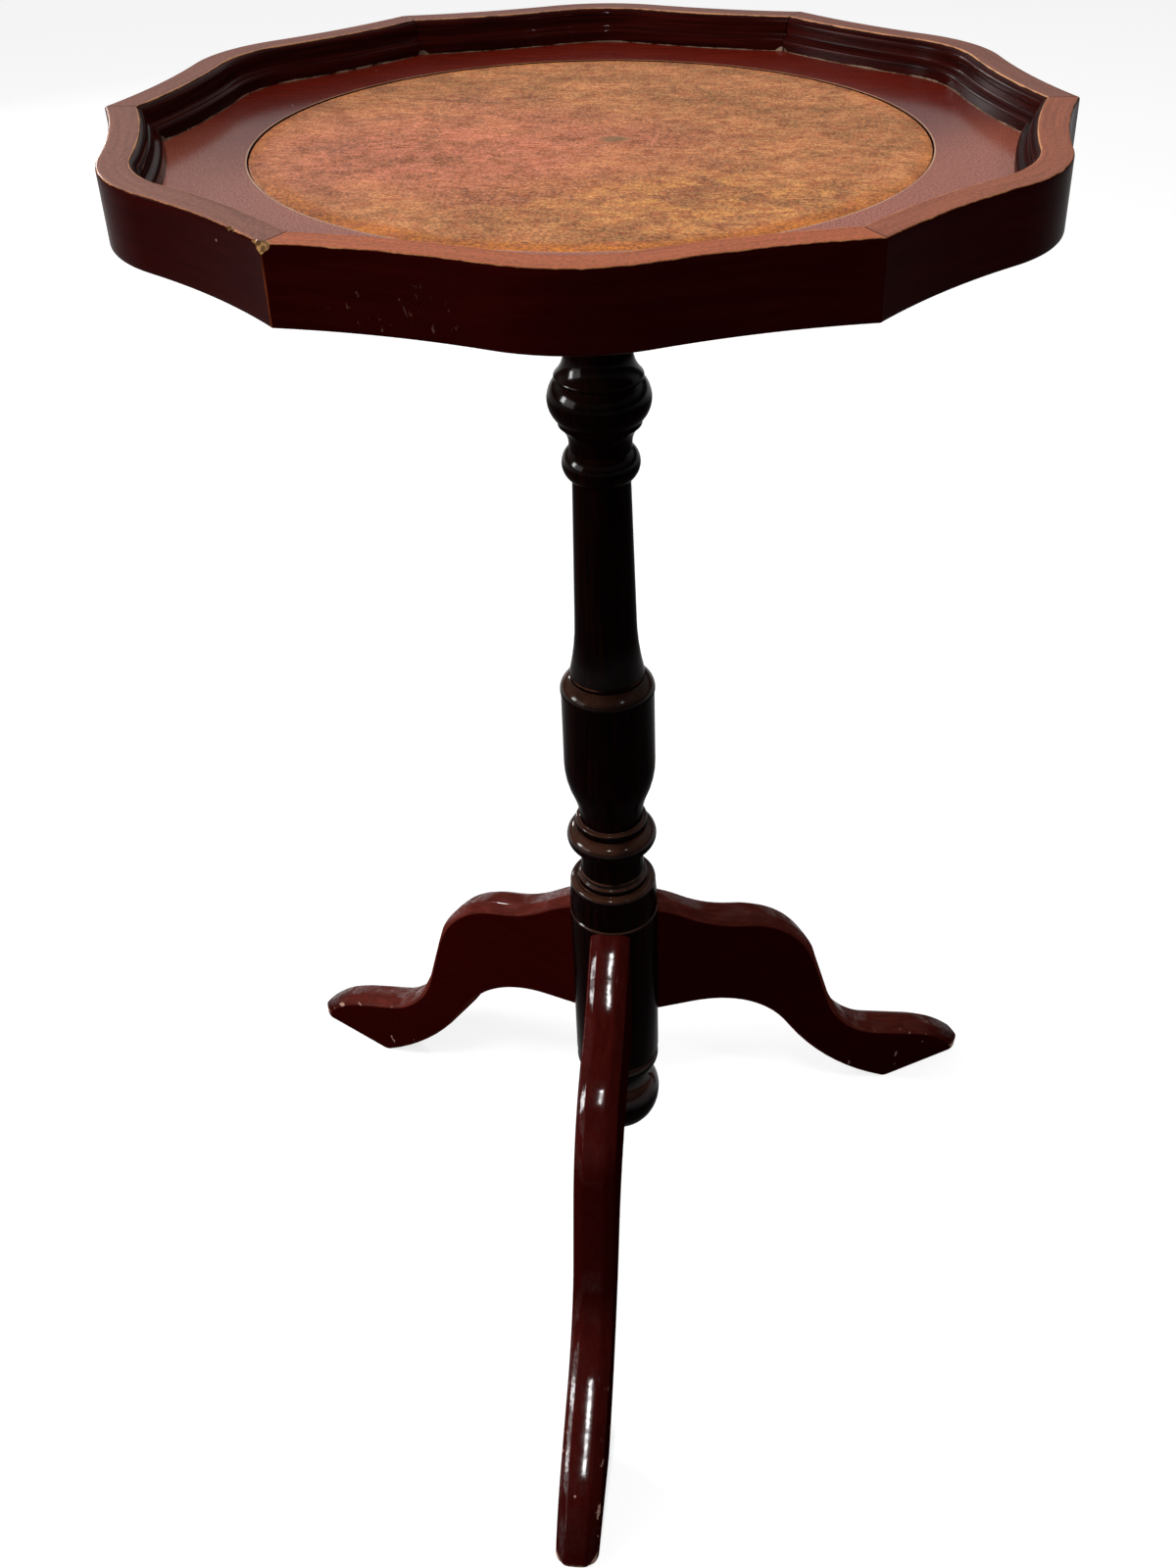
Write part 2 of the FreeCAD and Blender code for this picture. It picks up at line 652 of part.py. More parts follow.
def build_leather(doc, z, heights):
    """Lay the leather disc in its recess."""
    body = new_body(doc, "leather_inset")
    sketch = new_sketch(body, "disc", "XY_Plane", heights.recess_floor)
    add_circle(sketch, 0, 0, z["leather_radius"])
    pad(body, sketch, z["leather_thickness"])
    return body


def build_cleat(doc, z, heights):
    """Saw the square block under the top, bored for the tenon and drilled for a screw near each corner."""
    body = new_body(doc, "top_cleat")
    sketch = new_sketch(body, "block", "XY_Plane", heights.cleat_bottom)
    reach = z["cleat_width"] * math.sqrt(0.5)
    outline = Outline(sketch)
    for across, along in ((reach, 0), (0, reach), (-reach, 0), (0, -reach)):
        outline.corner(across, along)
    outline.close()
    add_circle(sketch, 0, 0, z["tenon_radius"] + z["glue_gap"])
    block = pad(body, sketch, z["cleat_thickness"])
    doc.recompute()
    lower_edges = []
    for number, edge in enumerate(block.Shape.Edges, start=1):
        low = edge.BoundBox.ZMax < heights.cleat_bottom.number + 1e-6
        if low and edge.Curve.TypeId == "Part::GeomLine":
            lower_edges.append(f"Edge{number}")
    chamfer = body.newObject("PartDesign::Chamfer", "lower_chamfer")
    chamfer.Base = (block, lower_edges)
    chamfer.setExpression("Size", z["cleat_chamfer"].formula)
    hole = Outline(new_sketch(body, "screw_hole", "XZ_Plane"))
    screw_hole(hole, z, z["screw_circle"], heights.cleat_bottom, 1, z["cleat_thickness"])
    cut = groove(body, hole.sketch, upright_axis(hole.sketch, z, z["screw_circle"]))
    doc.recompute()
    repeat_round(body, [cut], CLEAT_SCREW_COUNT)
    turn_body(body, crown_angle(z))
    return body


def build_cleat_screws(doc, z, heights):
    """Turn a countersunk screw and repeat it round the cleat."""
    body = new_body(doc, "cleat_screws")
    sketch = new_sketch(body, "screw", "XZ_Plane")
    screw_outline(sketch, z, z["screw_circle"], heights.cleat_bottom, z["screw_length"], 1)
    screw = turn_solid(body, sketch, upright_axis(sketch, z, z["screw_circle"]))
    doc.recompute()
    repeat_round(body, [screw], CLEAT_SCREW_COUNT)
    turn_body(body, crown_angle(z))
    return body


def build_centre_screw(doc, z, heights):
    """Turn the screw that goes down through the panel into the column."""
    body = new_body(doc, "centre_screw")
    sketch = new_sketch(body, "screw", "XZ_Plane")
    screw_outline(sketch, z, Size(0.0), heights.recess_floor, z["centre_screw_length"], -1)
    turn_solid(body, sketch)
    return body


def ogee(outline, start, end, share):
    """Add a reverse curve between two places on an outline: hollow for a share, then round."""
    run, rise = end[1] - start[1], end[0] - start[0]
    radius = arc_radius(run, rise)
    outline.corner(start[0] + rise * share, start[1] + run * share, radius * share, -1)
    outline.corner(end[0], end[1], radius - radius * share, 1)


def lower_turning(outline, z):
    """Draw the column's profile from the ball drop up to the scribed line over the legs."""
    hub_bottom = z["leg_bottom"] - z["hub_tail"]
    bead_bottom = hub_bottom - z["drop_bead_height"]
    neck_bottom = bead_bottom - z["drop_neck_height"]
    neck = z["drop_neck_radius"]
    crown = (z["ball_radius"] * z["ball_radius"] - neck * neck).root()
    ball_bottom = neck_bottom - crown - z["ball_radius"]
    outline.corner(0, ball_bottom)
    outline.corner(neck, neck_bottom, z["ball_radius"], 1)
    outline.corner(neck, bead_bottom)
    outline.corner(neck, hub_bottom, arc_radius(z["drop_bead_height"] / 2, z["drop_bead_bulge"]), 1)
    outline.corner(z["hub_radius"], hub_bottom)
    line = z["leg_top"] + z["hub_rise"]
    half_line = z["hub_line_width"] / 2
    outline.corner(z["hub_radius"], line - half_line)
    outline.corner(z["hub_radius"] - z["hub_line_depth"], line)
    outline.corner(z["hub_radius"], line + half_line)
    return line + half_line


def middle_turning(outline, z, level):
    """Draw the profile from the hub's collar up to the foot of the slender shaft."""
    level = level + z["hub_collar_height"]
    outline.corner(z["hub_radius"], level)
    level = level + z["hub_shoulder_height"]
    shoulder = arc_radius(z["hub_shoulder_height"], z["hub_shoulder_drop"])
    outline.corner(z["hub_radius"] - z["hub_shoulder_drop"], level, shoulder, 1)
    outline.corner(z["hub_fillet_radius"], level)
    level = level + z["hub_fillet_height"]
    outline.corner(z["hub_fillet_radius"], level)
    outline.corner(z["waist_radius"], level)
    level = level + z["waist_height"]
    outline.corner(z["waist_radius"], level, arc_radius(z["waist_height"] / 2, z["waist_hollow"]), -1)
    level = level + z["ring_height"]
    outline.corner(z["waist_radius"], level, arc_radius(z["ring_height"] / 2, z["ring_bulge"]), 1)
    level = level + z["disc_quirk"]
    outline.corner(z["waist_radius"], level)
    outline.corner(z["disc_radius"], level)
    level = level + z["disc_height"]
    outline.corner(z["disc_radius"], level)
    outline.corner(z["vase_neck_radius"], level)
    foot_top = level + z["vase_foot_height"]
    ogee(outline, (z["vase_neck_radius"], level), (z["vase_radius"], foot_top), z["vase_foot_share"])
    level = foot_top + z["vase_body_height"]
    outline.corner(z["vase_top_radius"], level)
    shoulder_fall = z["vase_top_radius"] - z["flare_foot_radius"]
    shoulder = arc_radius(z["vase_shoulder_height"], shoulder_fall)
    level = level + z["vase_shoulder_height"]
    outline.corner(z["flare_foot_radius"], level, shoulder, 1)
    level = level + z["flare_fillet_height"]
    outline.corner(z["flare_foot_radius"], level)
    flare = arc_radius(z["shaft_flare_height"], z["flare_foot_radius"] - z["shaft_foot_radius"])
    outline.corner(z["shaft_foot_radius"], level + z["shaft_flare_height"], flare, -1)


def upper_turning(outline, z, heights):
    """Draw the profile from the slender shaft's top up to the tenon, measured from the cleat down."""
    capital = heights.cleat_bottom - z["capital_height"]
    slope_foot = capital - z["capital_slope"]
    upper_shaft = slope_foot - z["upper_shaft_height"]
    upper_cove = upper_shaft - z["upper_cove_height"]
    knop_top = upper_cove - z["knop_fillet_height"]
    knop_bottom = knop_top - z["knop_height"]
    collar = knop_bottom - z["collar_fillet_height"]
    collar_neck = collar - z["collar_cove_height"]
    bead_top = collar_neck - z["collar_neck_height"]
    bead_bottom = bead_top - z["collar_bead_height"]
    neck, fillet = z["collar_neck_radius"], z["collar_fillet_radius"]
    outline.corner(z["shaft_top_radius"], bead_bottom)
    outline.corner(neck, bead_bottom)
    outline.corner(neck, bead_top, arc_radius(z["collar_bead_height"] / 2, z["collar_bead_bulge"]), 1)
    outline.corner(neck, collar_neck)
    outline.corner(fillet, collar, arc_radius(z["collar_cove_height"], fillet - neck), -1)
    outline.corner(fillet, knop_bottom)
    base = z["knop_base_radius"]
    outline.corner(base, knop_bottom)
    outline.corner(base, knop_top, arc_radius(z["knop_height"] / 2, z["knop_bulge"]), 1)
    outline.corner(z["knop_fillet_radius"], knop_top)
    outline.corner(z["knop_fillet_radius"], upper_cove)
    upper_neck = z["upper_neck_radius"]
    upper_arc = arc_radius(z["upper_cove_height"], z["knop_fillet_radius"] - upper_neck)
    outline.corner(upper_neck, upper_shaft, upper_arc, -1)
    outline.corner(z["upper_shaft_radius"], slope_foot)
    outline.corner(z["capital_radius"], capital)
    outline.corner(z["capital_radius"], heights.cleat_bottom)
    outline.corner(z["tenon_radius"], heights.cleat_bottom)
    tenon_top = heights.panel_bottom - z["tenon_relief"]
    pilot = z["screw_radius"] + z["screw_gap"]
    pilot_floor = heights.recess_floor - z["centre_screw_length"] - z["screw_gap"]
    outline.corner(z["tenon_radius"], tenon_top)
    outline.corner(pilot, tenon_top)
    outline.corner(pilot, pilot_floor)
    outline.corner(0, pilot_floor)


def dowel_hole(sketch, z, heights):
    """Draw the two dowel holes of a leg."""
    add_circle(sketch, 0, heights.lower_dowel, z["dowel_radius"] + z["dowel_gap"])
    add_circle(sketch, 0, heights.upper_dowel, z["dowel_radius"] + z["dowel_gap"])


def build_column(doc, z, heights):
    """Turn the column in one piece and drill its hub for the legs' dowels."""
    body = new_body(doc, "column")
    outline = Outline(new_sketch(body, "profile", "XZ_Plane"))
    scribed_line = lower_turning(outline, z)
    middle_turning(outline, z, scribed_line)
    upper_turning(outline, z, heights)
    turn_solid(body, outline.close())
    drill = new_sketch(body, "dowel_holes", "YZ_Plane", z["dowel_start"] - z["dowel_end_gap"])
    dowel_hole(drill, z, heights)
    holes = pocket(body, drill, z["hub_radius"], upward=True)
    doc.recompute()
    repeat_round(body, [holes], LEG_COUNT)
    turn_body(body, Size(FIRST_LEG_DEGREES))
    return body


class Chain:
    """A smooth chain of straight runs and arcs, drawn in the order in which it is walked."""

    def __init__(self, sketch, start, heading):
        self.sketch = sketch
        self.place = Vector(*start, 0)
        self.heading = math.radians(heading)
        self.last = None

    def join(self, curve, begin, end):
        """Join a curve smoothly to the one before it."""
        index = self.sketch.addGeometry(curve, False)
        if self.last is not None:
            self.sketch.addConstraint(Sketcher.Constraint("Tangent", *self.last, index, begin))
        self.last = (index, end)
        return index

    def run(self, length):
        """Walk straight on."""
        there = self.place + Vector(math.cos(self.heading), math.sin(self.heading), 0) * length
        index = self.join(Part.LineSegment(self.place, there), 1, 2)
        self.place = there
        return index

    def arc(self, radius, degrees, held=True):
        """Walk round an arc, to the left for positive degrees, and tie its radius and span."""
        span, side = math.radians(sized(degrees).number), math.copysign(1.0, sized(degrees).number)
        reach = radius.number * side
        centre = self.place + Vector(-math.sin(self.heading), math.cos(self.heading), 0) * reach
        first = self.heading - side * math.pi / 2
        low, high = sorted((first, first + span))
        curve = Part.ArcOfCircle(Part.Circle(centre, Vector(0, 0, 1), radius.number), low, high)
        begin, end = (1, 2) if side > 0 else (2, 1)
        index = self.join(curve, begin, end)
        bind(self.sketch, "Radius", (index,), radius)
        if held:
            bind_angle(self.sketch, (index,), degrees if side > 0 else -degrees)
        self.heading += span
        self.place = centre + Vector(math.sin(self.heading), -math.cos(self.heading), 0) * reach
        return index


def walked(start, heading, steps):
    """Where a chain of arcs (radius, degrees) ends, with its headings before each arc."""
    x, y = start
    headings = [heading]
    for radius, degrees in steps:
        side = math.copysign(radius, degrees)
        before, after = math.radians(headings[-1]), math.radians(headings[-1] + degrees)
        x += side * (math.sin(after) - math.sin(before))
        y += side * (math.cos(before) - math.cos(after))
        headings.append(headings[-1] + degrees)
    return x, y, headings


def two_runs(gap, first_heading, second_heading):
    """Lengths of two straight runs, in two headings, that together cover a gap."""
    a, b = math.radians(first_heading), math.radians(second_heading)
    spread = math.sin(b - a)
    first = (gap[0] * math.sin(b) - gap[1] * math.cos(b)) / spread
    second = (gap[1] * math.cos(a) - gap[0] * math.sin(a)) / spread
    return first, second


def slope_rise(run, slope):
    """Height gained over a level run at a slope in degrees."""
    return run * slope.sine() / slope.cosine()


def leg_profile(body, z):
    """Draw the leg's side: shoulder, knee, ankle, toe and sole, and back under the arch."""
    sketch = new_sketch(body, "side", "XZ_Plane")
    root = z["hub_radius"] / 2
    stub = z["hub_radius"] - root
    hub = z["hub_radius"].number
    root_slope = z["root_slope"].number
    root_top = z["leg_top"] + slope_rise(stub, z["root_slope"])
    root_bottom = z["leg_bottom"] + slope_rise(stub, z["arch_slope"])
    upper = [("shoulder", -1), ("saddle", 1), ("knee", -1), ("ankle", 1), ("instep", -1)]
    steps = [(z[f"{name}_radius"].number, side * z[f"{name}_span"].number) for name, side in upper]
    fall = sum(step[1] for step in steps) - root_slope
    steps.append((z["toe_radius"].number, -180.0 - fall))
    end_x, end_y, headings = walked((hub, z["leg_top"].number), -root_slope, steps)
    sole_start = z["leg_reach"].number - z["toe_radius"].number
    shin, foot = two_runs((sole_start - end_x, -end_y), headings[3], headings[4])
    chain = Chain(sketch, (root.number, root_top.number), -root_slope)
    stub_line = chain.run(stub.number / math.cos(math.radians(root_slope)))
    for name, side in upper:
        span = z[f"{name}_span"]
        chain.arc(z[f"{name}_radius"], span if side > 0 else -span)
        if name == "knee":
            chain.run(shin)
        if name == "ankle":
            chain.run(foot)
    toe = chain.arc(z["toe_radius"], Size(-180.0 - fall), held=False)
    sole = chain.run(sole_start - z["heel_reach"].number)
    heel_span = z["arch_slope"] + z["arch_span"] - z["calf_span"]
    lower = [("heel", -heel_span), ("calf", -z["calf_span"]), ("arch", z["arch_span"])]
    steps = [(z[f"{name}_radius"].number, span.number) for name, span in lower]
    end_x, end_y, headings = walked((z["heel_reach"].number, 0.0), -180.0, steps)
    gap = (root.number - end_x, root_bottom.number - end_y)
    shank, tail = two_runs(gap, headings[2], headings[3])
    heel = None
    for name, span in lower:
        if name == "arch":
            chain.run(shank)
        arc = chain.arc(z[f"{name}_radius"], span, held=name != "arch")
        heel = arc if name == "heel" else heel
    tail_line = chain.run(tail)
    upper_root = Vector(root.number, root_top.number, 0)
    end_line = sketch.addGeometry(Part.LineSegment(chain.place, upper_root), False)
    sketch.addConstraint(Sketcher.Constraint("Coincident", tail_line, 2, end_line, 1))
    sketch.addConstraint(Sketcher.Constraint("Coincident", end_line, 2, stub_line, 1))
    pin(sketch, stub_line, 1, root, root_top)
    bind(sketch, "DistanceX", (-1, 1, stub_line, 2), z["hub_radius"])
    bind(sketch, "DistanceY", (-1, 1, stub_line, 2), z["leg_top"])
    bind(sketch, "DistanceX", (-1, 1, toe, 3), z["leg_reach"] - z["toe_radius"])
    sketch.addConstraint(Sketcher.Constraint("PointOnObject", sole, 1, -1))
    pin(sketch, heel, 2, z["heel_reach"], 0)
    pin(sketch, tail_line, 2, root, root_bottom)
    bind_angle(sketch, (tail_line,), Size(180.0) - z["arch_slope"])
    return sketch


def build_leg(doc, z, heights, label, degrees):
    """Saw a leg from flat board, round its edges, cope it to the hub and drill it."""
    body = new_body(doc, label)
    blank = pad(body, leg_profile(body, z), z["leg_thickness"], symmetric=True)
    doc.recompute()
    half = z["leg_thickness"].number / 2
    root = z["hub_radius"].number / 2
    edges = []
    for number, edge in enumerate(blank.Shape.Edges, start=1):
        on_side = edge.BoundBox.YLength < 1e-6 and abs(abs(edge.BoundBox.YMin) - half) < 1e-6
        if on_side and edge.BoundBox.XMax > root + 1e-6:
            edges.append(f"Edge{number}")
    rounded = body.newObject("PartDesign::Fillet", "rounded_edges")
    rounded.Base = (blank, edges)
    rounded.setExpression("Radius", z["leg_edge"].formula)
    doc.recompute()
    cope = new_sketch(body, "cope", "XY_Plane")
    add_circle(cope, 0, 0, z["hub_radius"] + z["glue_gap"])
    cut_through(body, cope)
    drill = new_sketch(body, "dowel_holes", "YZ_Plane")
    dowel_hole(drill, z, heights)
    reach = z["dowel_start"] + z["dowel_length"] + z["dowel_end_gap"]
    pocket(body, drill, reach, upward=True)
    turn_body(body, Size(degrees))
    return body


def build_dowels(doc, z, heights):
    """Turn the two dowels of a leg and repeat them round the hub."""
    body = new_body(doc, "leg_dowels")
    dowels = []
    start, radius = z["dowel_start"], z["dowel_radius"]
    end = start + z["dowel_length"]
    for name, level in (("lower_dowel", heights.lower_dowel), ("upper_dowel", heights.upper_dowel)):
        sketch = new_sketch(body, name, "XZ_Plane")
        outline = Outline(sketch)
        outline.corner(start, level)
        outline.corner(end, level)
        outline.corner(end, level + radius)
        outline.corner(start, level + radius)
        outline.close()
        dowels.append(turn_solid(body, sketch, level_axis(sketch, level, end)))
    doc.recompute()
    repeat_round(body, dowels, LEG_COUNT)
    turn_body(body, Size(FIRST_LEG_DEGREES))
    return body


def build_table(doc):
    """Build every piece of the table."""
    z = write_sheet(doc)
    heights = Heights(z)
    pieces = [build_leather(doc, z, heights), build_panel(doc, z, heights)]
    for segment, name in enumerate(RIM_NAMES):
        pieces.append(build_rim_segment(doc, z, heights, name, segment))
    pieces.append(build_rim_splines(doc, z, heights))
    pieces.append(build_cleat(doc, z, heights))
    pieces.append(build_cleat_screws(doc, z, heights))
    pieces.append(build_centre_screw(doc, z, heights))
    pieces.append(build_column(doc, z, heights))
    for k, name in enumerate(LEG_NAMES):
        pieces.append(build_leg(doc, z, heights, name, FIRST_LEG_DEGREES + 360.0 / LEG_COUNT * k))
    pieces.append(build_dowels(doc, z, heights))
    return pieces


def check_table(doc, pieces):
    """Stop if any object failed or any piece is empty or invalid."""
    for item in doc.Objects:
        if "Invalid" in item.State or "Error" in item.State:
            raise RuntimeError(f"{item.Label} failed: {item.State}")
    for piece in pieces:
        if piece.Shape.isNull() or not piece.Shape.isValid() or not piece.Shape.Solids:
            raise RuntimeError(f"{piece.Label} has no valid shape")


def write_pieces(pieces):
    """Write each piece to its own file and print its solids and volume."""
    os.makedirs("parts", exist_ok=True)
    for piece in pieces:
        piece.Shape.exportStep(f"parts/{piece.Label}.step")
        print(f"{piece.Label}: {len(piece.Shape.Solids)} solids, {piece.Shape.Volume / 1000:.2f} cm3")


document = FreeCAD.newDocument("pedestal_table")
table_pieces = build_table(document)
document.recompute()
check_table(document, table_pieces)
write_pieces(table_pieces)
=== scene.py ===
"""Dresses the small tray-top pedestal table: rim, leather, panel, column, legs and studio."""

import logging
import math
from dataclasses import dataclass
from enum import Enum
from typing import Any, ClassVar

import bmesh
import bpy
from mathutils import Matrix, Vector, noise

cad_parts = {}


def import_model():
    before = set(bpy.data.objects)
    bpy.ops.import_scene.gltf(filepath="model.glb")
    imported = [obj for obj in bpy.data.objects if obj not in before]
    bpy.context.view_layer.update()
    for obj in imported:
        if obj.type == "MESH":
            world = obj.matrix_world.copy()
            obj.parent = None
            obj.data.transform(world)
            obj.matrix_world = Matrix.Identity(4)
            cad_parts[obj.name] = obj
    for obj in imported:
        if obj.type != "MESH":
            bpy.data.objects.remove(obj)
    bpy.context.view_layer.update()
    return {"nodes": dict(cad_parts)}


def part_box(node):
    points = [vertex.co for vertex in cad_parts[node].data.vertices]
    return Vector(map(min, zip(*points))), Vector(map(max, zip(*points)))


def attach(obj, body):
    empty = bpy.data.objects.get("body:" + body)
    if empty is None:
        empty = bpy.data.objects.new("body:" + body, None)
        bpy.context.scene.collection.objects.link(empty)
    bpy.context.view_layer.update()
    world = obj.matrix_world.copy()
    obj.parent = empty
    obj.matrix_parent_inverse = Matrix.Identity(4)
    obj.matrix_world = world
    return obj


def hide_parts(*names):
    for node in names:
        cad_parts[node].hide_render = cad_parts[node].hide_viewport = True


LOG = logging.getLogger("pedestal_table")
BODY = "root"
MM = 0.001
TURNED_WELD = 0.001 * MM
RECESS_CLEARANCE = 0.4 * MM

Colour = tuple[float, float, float]


class Shade:
    """A shader socket that takes part in Python arithmetic."""

    def __init__(self, graph: "Graph", socket: bpy.types.NodeSocket) -> None:
        """Wrap one output socket of a graph."""
        self.graph = graph
        self.socket = socket

    def out(self, name: str) -> "Shade":
        """Give another output of the same node."""
        return Shade(self.graph, self.graph.pick(self.socket.node.outputs, name))

    def maths(self, operation: str, *feeds: Any) -> "Shade":
        """Add a Math node, fed by numbers or sockets in the node's order."""
        return self.graph.add("ShaderNodeMath", {"operation": operation}, dict(enumerate(feeds)))

    def __add__(self, other: Any) -> "Shade":
        """Add a number or a socket."""
        return self.maths("ADD", self, other)

    def __radd__(self, other: Any) -> "Shade":
        """Add to a number."""
        return self.maths("ADD", other, self)

    def __sub__(self, other: Any) -> "Shade":
        """Subtract a number or a socket."""
        return self.maths("SUBTRACT", self, other)

    def __rsub__(self, other: Any) -> "Shade":
        """Subtract from a number."""
        return self.maths("SUBTRACT", other, self)

    def __mul__(self, other: Any) -> "Shade":
        """Multiply by a number or a socket."""
        return self.maths("MULTIPLY", self, other)

    def __rmul__(self, other: Any) -> "Shade":
        """Multiply a number."""
        return self.maths("MULTIPLY", other, self)

    def __truediv__(self, other: Any) -> "Shade":
        """Divide by a number or a socket."""
        return self.maths("DIVIDE", self, other)

    def __pow__(self, other: Any) -> "Shade":
        """Raise to a power."""
        return self.maths("POWER", self, other)

    def __neg__(self) -> "Shade":
        """Turn the sign round."""
        return self.maths("MULTIPLY", self, -1.0)

    def __abs__(self) -> "Shade":
        """Drop the sign."""
        return self.maths("ABSOLUTE", self)

    def __or__(self, other: Any) -> "Shade":
        """Join two masks: the larger of both."""
        return self.maths("MAXIMUM", self, other)

    def __and__(self, other: Any) -> "Shade":
        """Overlap two masks: the smaller of both."""
        return self.maths("MINIMUM", self, other)


class Graph:
    """A node tree under construction."""

    def __init__(self, tree: bpy.types.NodeTree) -> None:
        """Empty a tree and start on it."""
        self.tree = tree
        self.tree.nodes.clear()

    @staticmethod
    def pick(sockets: Any, key: int | str) -> bpy.types.NodeSocket:
        """Find a socket by number, identifier or name.

        Args:
            sockets: a node's inputs or outputs.
            key: the socket's number, identifier or name.

        Returns:
            The socket.
        """
        if isinstance(key, int):
            return sockets[key]
        by_identifier = [socket for socket in sockets if socket.identifier == key]
        return by_identifier[0] if by_identifier else sockets[key]

    def add(self, kind: str, settings: dict[str, Any] | None = None,
            feeds: dict[int | str, Any] | None = None, out: int | str = 0) -> Shade | None:
        """Add a node, set it up, then feed its sockets.

        Args:
            kind: the node's type.
            settings: properties to set first.
            feeds: values or sockets by input number, identifier or name.
            out: the output to hand back.

        Returns:
            The chosen output, or None where the node has none.
        """
        node = self.tree.nodes.new(kind)
        for name, value in (settings or {}).items():
            setattr(node, name, value)
        for key, value in (feeds or {}).items():
            socket = self.pick(node.inputs, key)
            if isinstance(value, Shade):
                self.tree.links.new(value.socket, socket)
            elif isinstance(value, tuple) and socket.type == "RGBA" and len(value) == 3:
                socket.default_value = (*value, 1.0)
            else:
                socket.default_value = value
        return Shade(self, self.pick(node.outputs, out)) if node.outputs else None

    def surface(self, shader: Shade) -> None:
        """Send a shader to the material's output."""
        self.add("ShaderNodeOutputMaterial", None, {"Surface": shader})

    def principled(self, feeds: dict[int | str, Any]) -> None:
        """Send a Principled shader, fed by its sockets' names, to the material's output."""
        self.surface(self.add("ShaderNodeBsdfPrincipled", None, feeds))

    def place(self, turn: float = 0.0) -> Shade:
        """Object coordinates, turned about the upright axis.

        Args:
            turn: angle in radians.

        Returns:
            The coordinates, in metres.
        """
        plain = self.add("ShaderNodeTexCoord", out="Object")
        if turn == 0.0:
            return plain
        return self.add("ShaderNodeMapping", None, {"Vector": plain, "Rotation": (0.0, 0.0, turn)})

    def split(self, vector: Shade) -> tuple[Shade, Shade, Shade]:
        """Take a vector's three parts."""
        first = self.add("ShaderNodeSeparateXYZ", None, {0: vector})
        return first, first.out("Y"), first.out("Z")

    def join(self, x: Any, y: Any, z: Any) -> Shade:
        """Make a vector of three values."""
        return self.add("ShaderNodeCombineXYZ", None, {0: x, 1: y, 2: z})

    def upward(self) -> Shade:
        """How far the surface faces up: 1 on a level face, 0 on an upright one."""
        return self.split(self.add("ShaderNodeNewGeometry", out="Normal"))[2]

    def attribute(self, name: str) -> Shade:
        """Read one of the piece's own values."""
        return self.add("ShaderNodeAttribute", {"attribute_name": name}, out="Fac")

    def noise(self, vector: Shade, scale: float, detail: float = 2.0, roughness: float = 0.5,
              distortion: float = 0.0) -> Shade:
        """Cloudy noise from 0 to 1: waves in a unit, octaves, share of the finer ones and warp."""
        feeds = {"Vector": vector, "Scale": scale, "Detail": detail, "Roughness": roughness,
                 "Distortion": distortion}
        return self.add("ShaderNodeTexNoise", {"noise_dimensions": "3D"}, feeds)

    def streaks(self, x: Any, y: Any, z: Any, detail: float = 4.0, roughness: float = 0.6,
                distortion: float = 0.0) -> Shade:
        """Noise over coordinates that are scaled one by one, as for grain and smears."""
        return self.noise(self.join(x, y, z), 1.0, detail, roughness, distortion)

    def specks(self, vector: Shade, scale: float, size: float, share: float) -> Shade:
        """Scattered dots.

        Args:
            vector: coordinates.
            scale: cells in a unit of length.
            size: a dot's radius, of its cell.
            share: part of the cells that hold a dot.

        Returns:
            A mask.
        """
        cells = self.add("ShaderNodeTexVoronoi", {"feature": "F1"}, {"Vector": vector, "Scale": scale})
        lot = self.add("ShaderNodeSeparateColor", None, {0: cells.out("Color")})
        return (1.0 - self.rise(cells, size * 0.5, size)) & self.rise(lot, 1.0 - share, 1.0 - share * 0.9)

    def rise(self, value: Shade, low: float, high: float) -> Shade:
        """A smooth step from 0 at low to 1 at high."""
        feeds = {"Value": value, "From Min": low, "From Max": high}
        return self.add("ShaderNodeMapRange", {"interpolation_type": "SMOOTHSTEP"}, feeds)

    def band(self, value: Shade, middle: float, half: float, soft: float) -> Shade:
        """A mask round a middle value, with soft sides."""
        return 1.0 - self.rise(abs(value - middle), half, half + soft)

    def oval(self, x: Shade, y: Shade, middle: tuple[float, float], half: tuple[float, float]) -> Shade:
        """Distance from the middle of an oval: 0 there and 1 on its outline."""
        across, along = (x - middle[0]) / half[0], (y - middle[1]) / half[1]
        return (across ** 2.0 + along ** 2.0) ** 0.5

    def mix(self, factor: Any, first: Any, second: Any, mode: str = "MIX") -> Shade:
        """Mix two colours, by the share of the second."""
        feeds = {"Factor_Float": factor, "A_Color": first, "B_Color": second}
        return self.add("ShaderNodeMix", {"data_type": "RGBA", "blend_type": mode}, feeds, "Result_Color")

    def tint(self, colour: Any, amount: Shade) -> Shade:
        """Multiply a colour by a grey value."""
        grey = self.add("ShaderNodeCombineColor", None, {0: amount, 1: amount, 2: amount})
        return self.mix(1.0, colour, grey, "MULTIPLY")

    def bump(self, height: Shade, depth: float) -> Shade:
        """A normal bent by a height, with the depth in metres that a height of 1 stands for."""
        return self.add("ShaderNodeBump", None, {"Height": height, "Distance": depth})


class RimPlace(Enum):
    """The rim's segments, counted round from the back right."""

    BACK_RIGHT = 0
    BACK = 1
    BACK_LEFT = 2
    FRONT_LEFT = 3
    FRONT = 4
    FRONT_RIGHT = 5

    @property
    def node(self) -> str:
        """Name of the segment's CAD node."""
        return f"rim_{self.name.lower()}"


@dataclass(frozen=True)
class Finish:
    """A finish that makes its own material."""

    name: str

    def material(self) -> bpy.types.Material:
        """Make the material.

        Returns:
            The material, ready to assign.
        """
        made = bpy.data.materials.new(self.name)
        made.use_nodes = True
        self.paint(Graph(made.node_tree))
        return made

    def paint(self, graph: Graph) -> None:
        """Lay the finish's nodes in a graph."""
        raise NotImplementedError


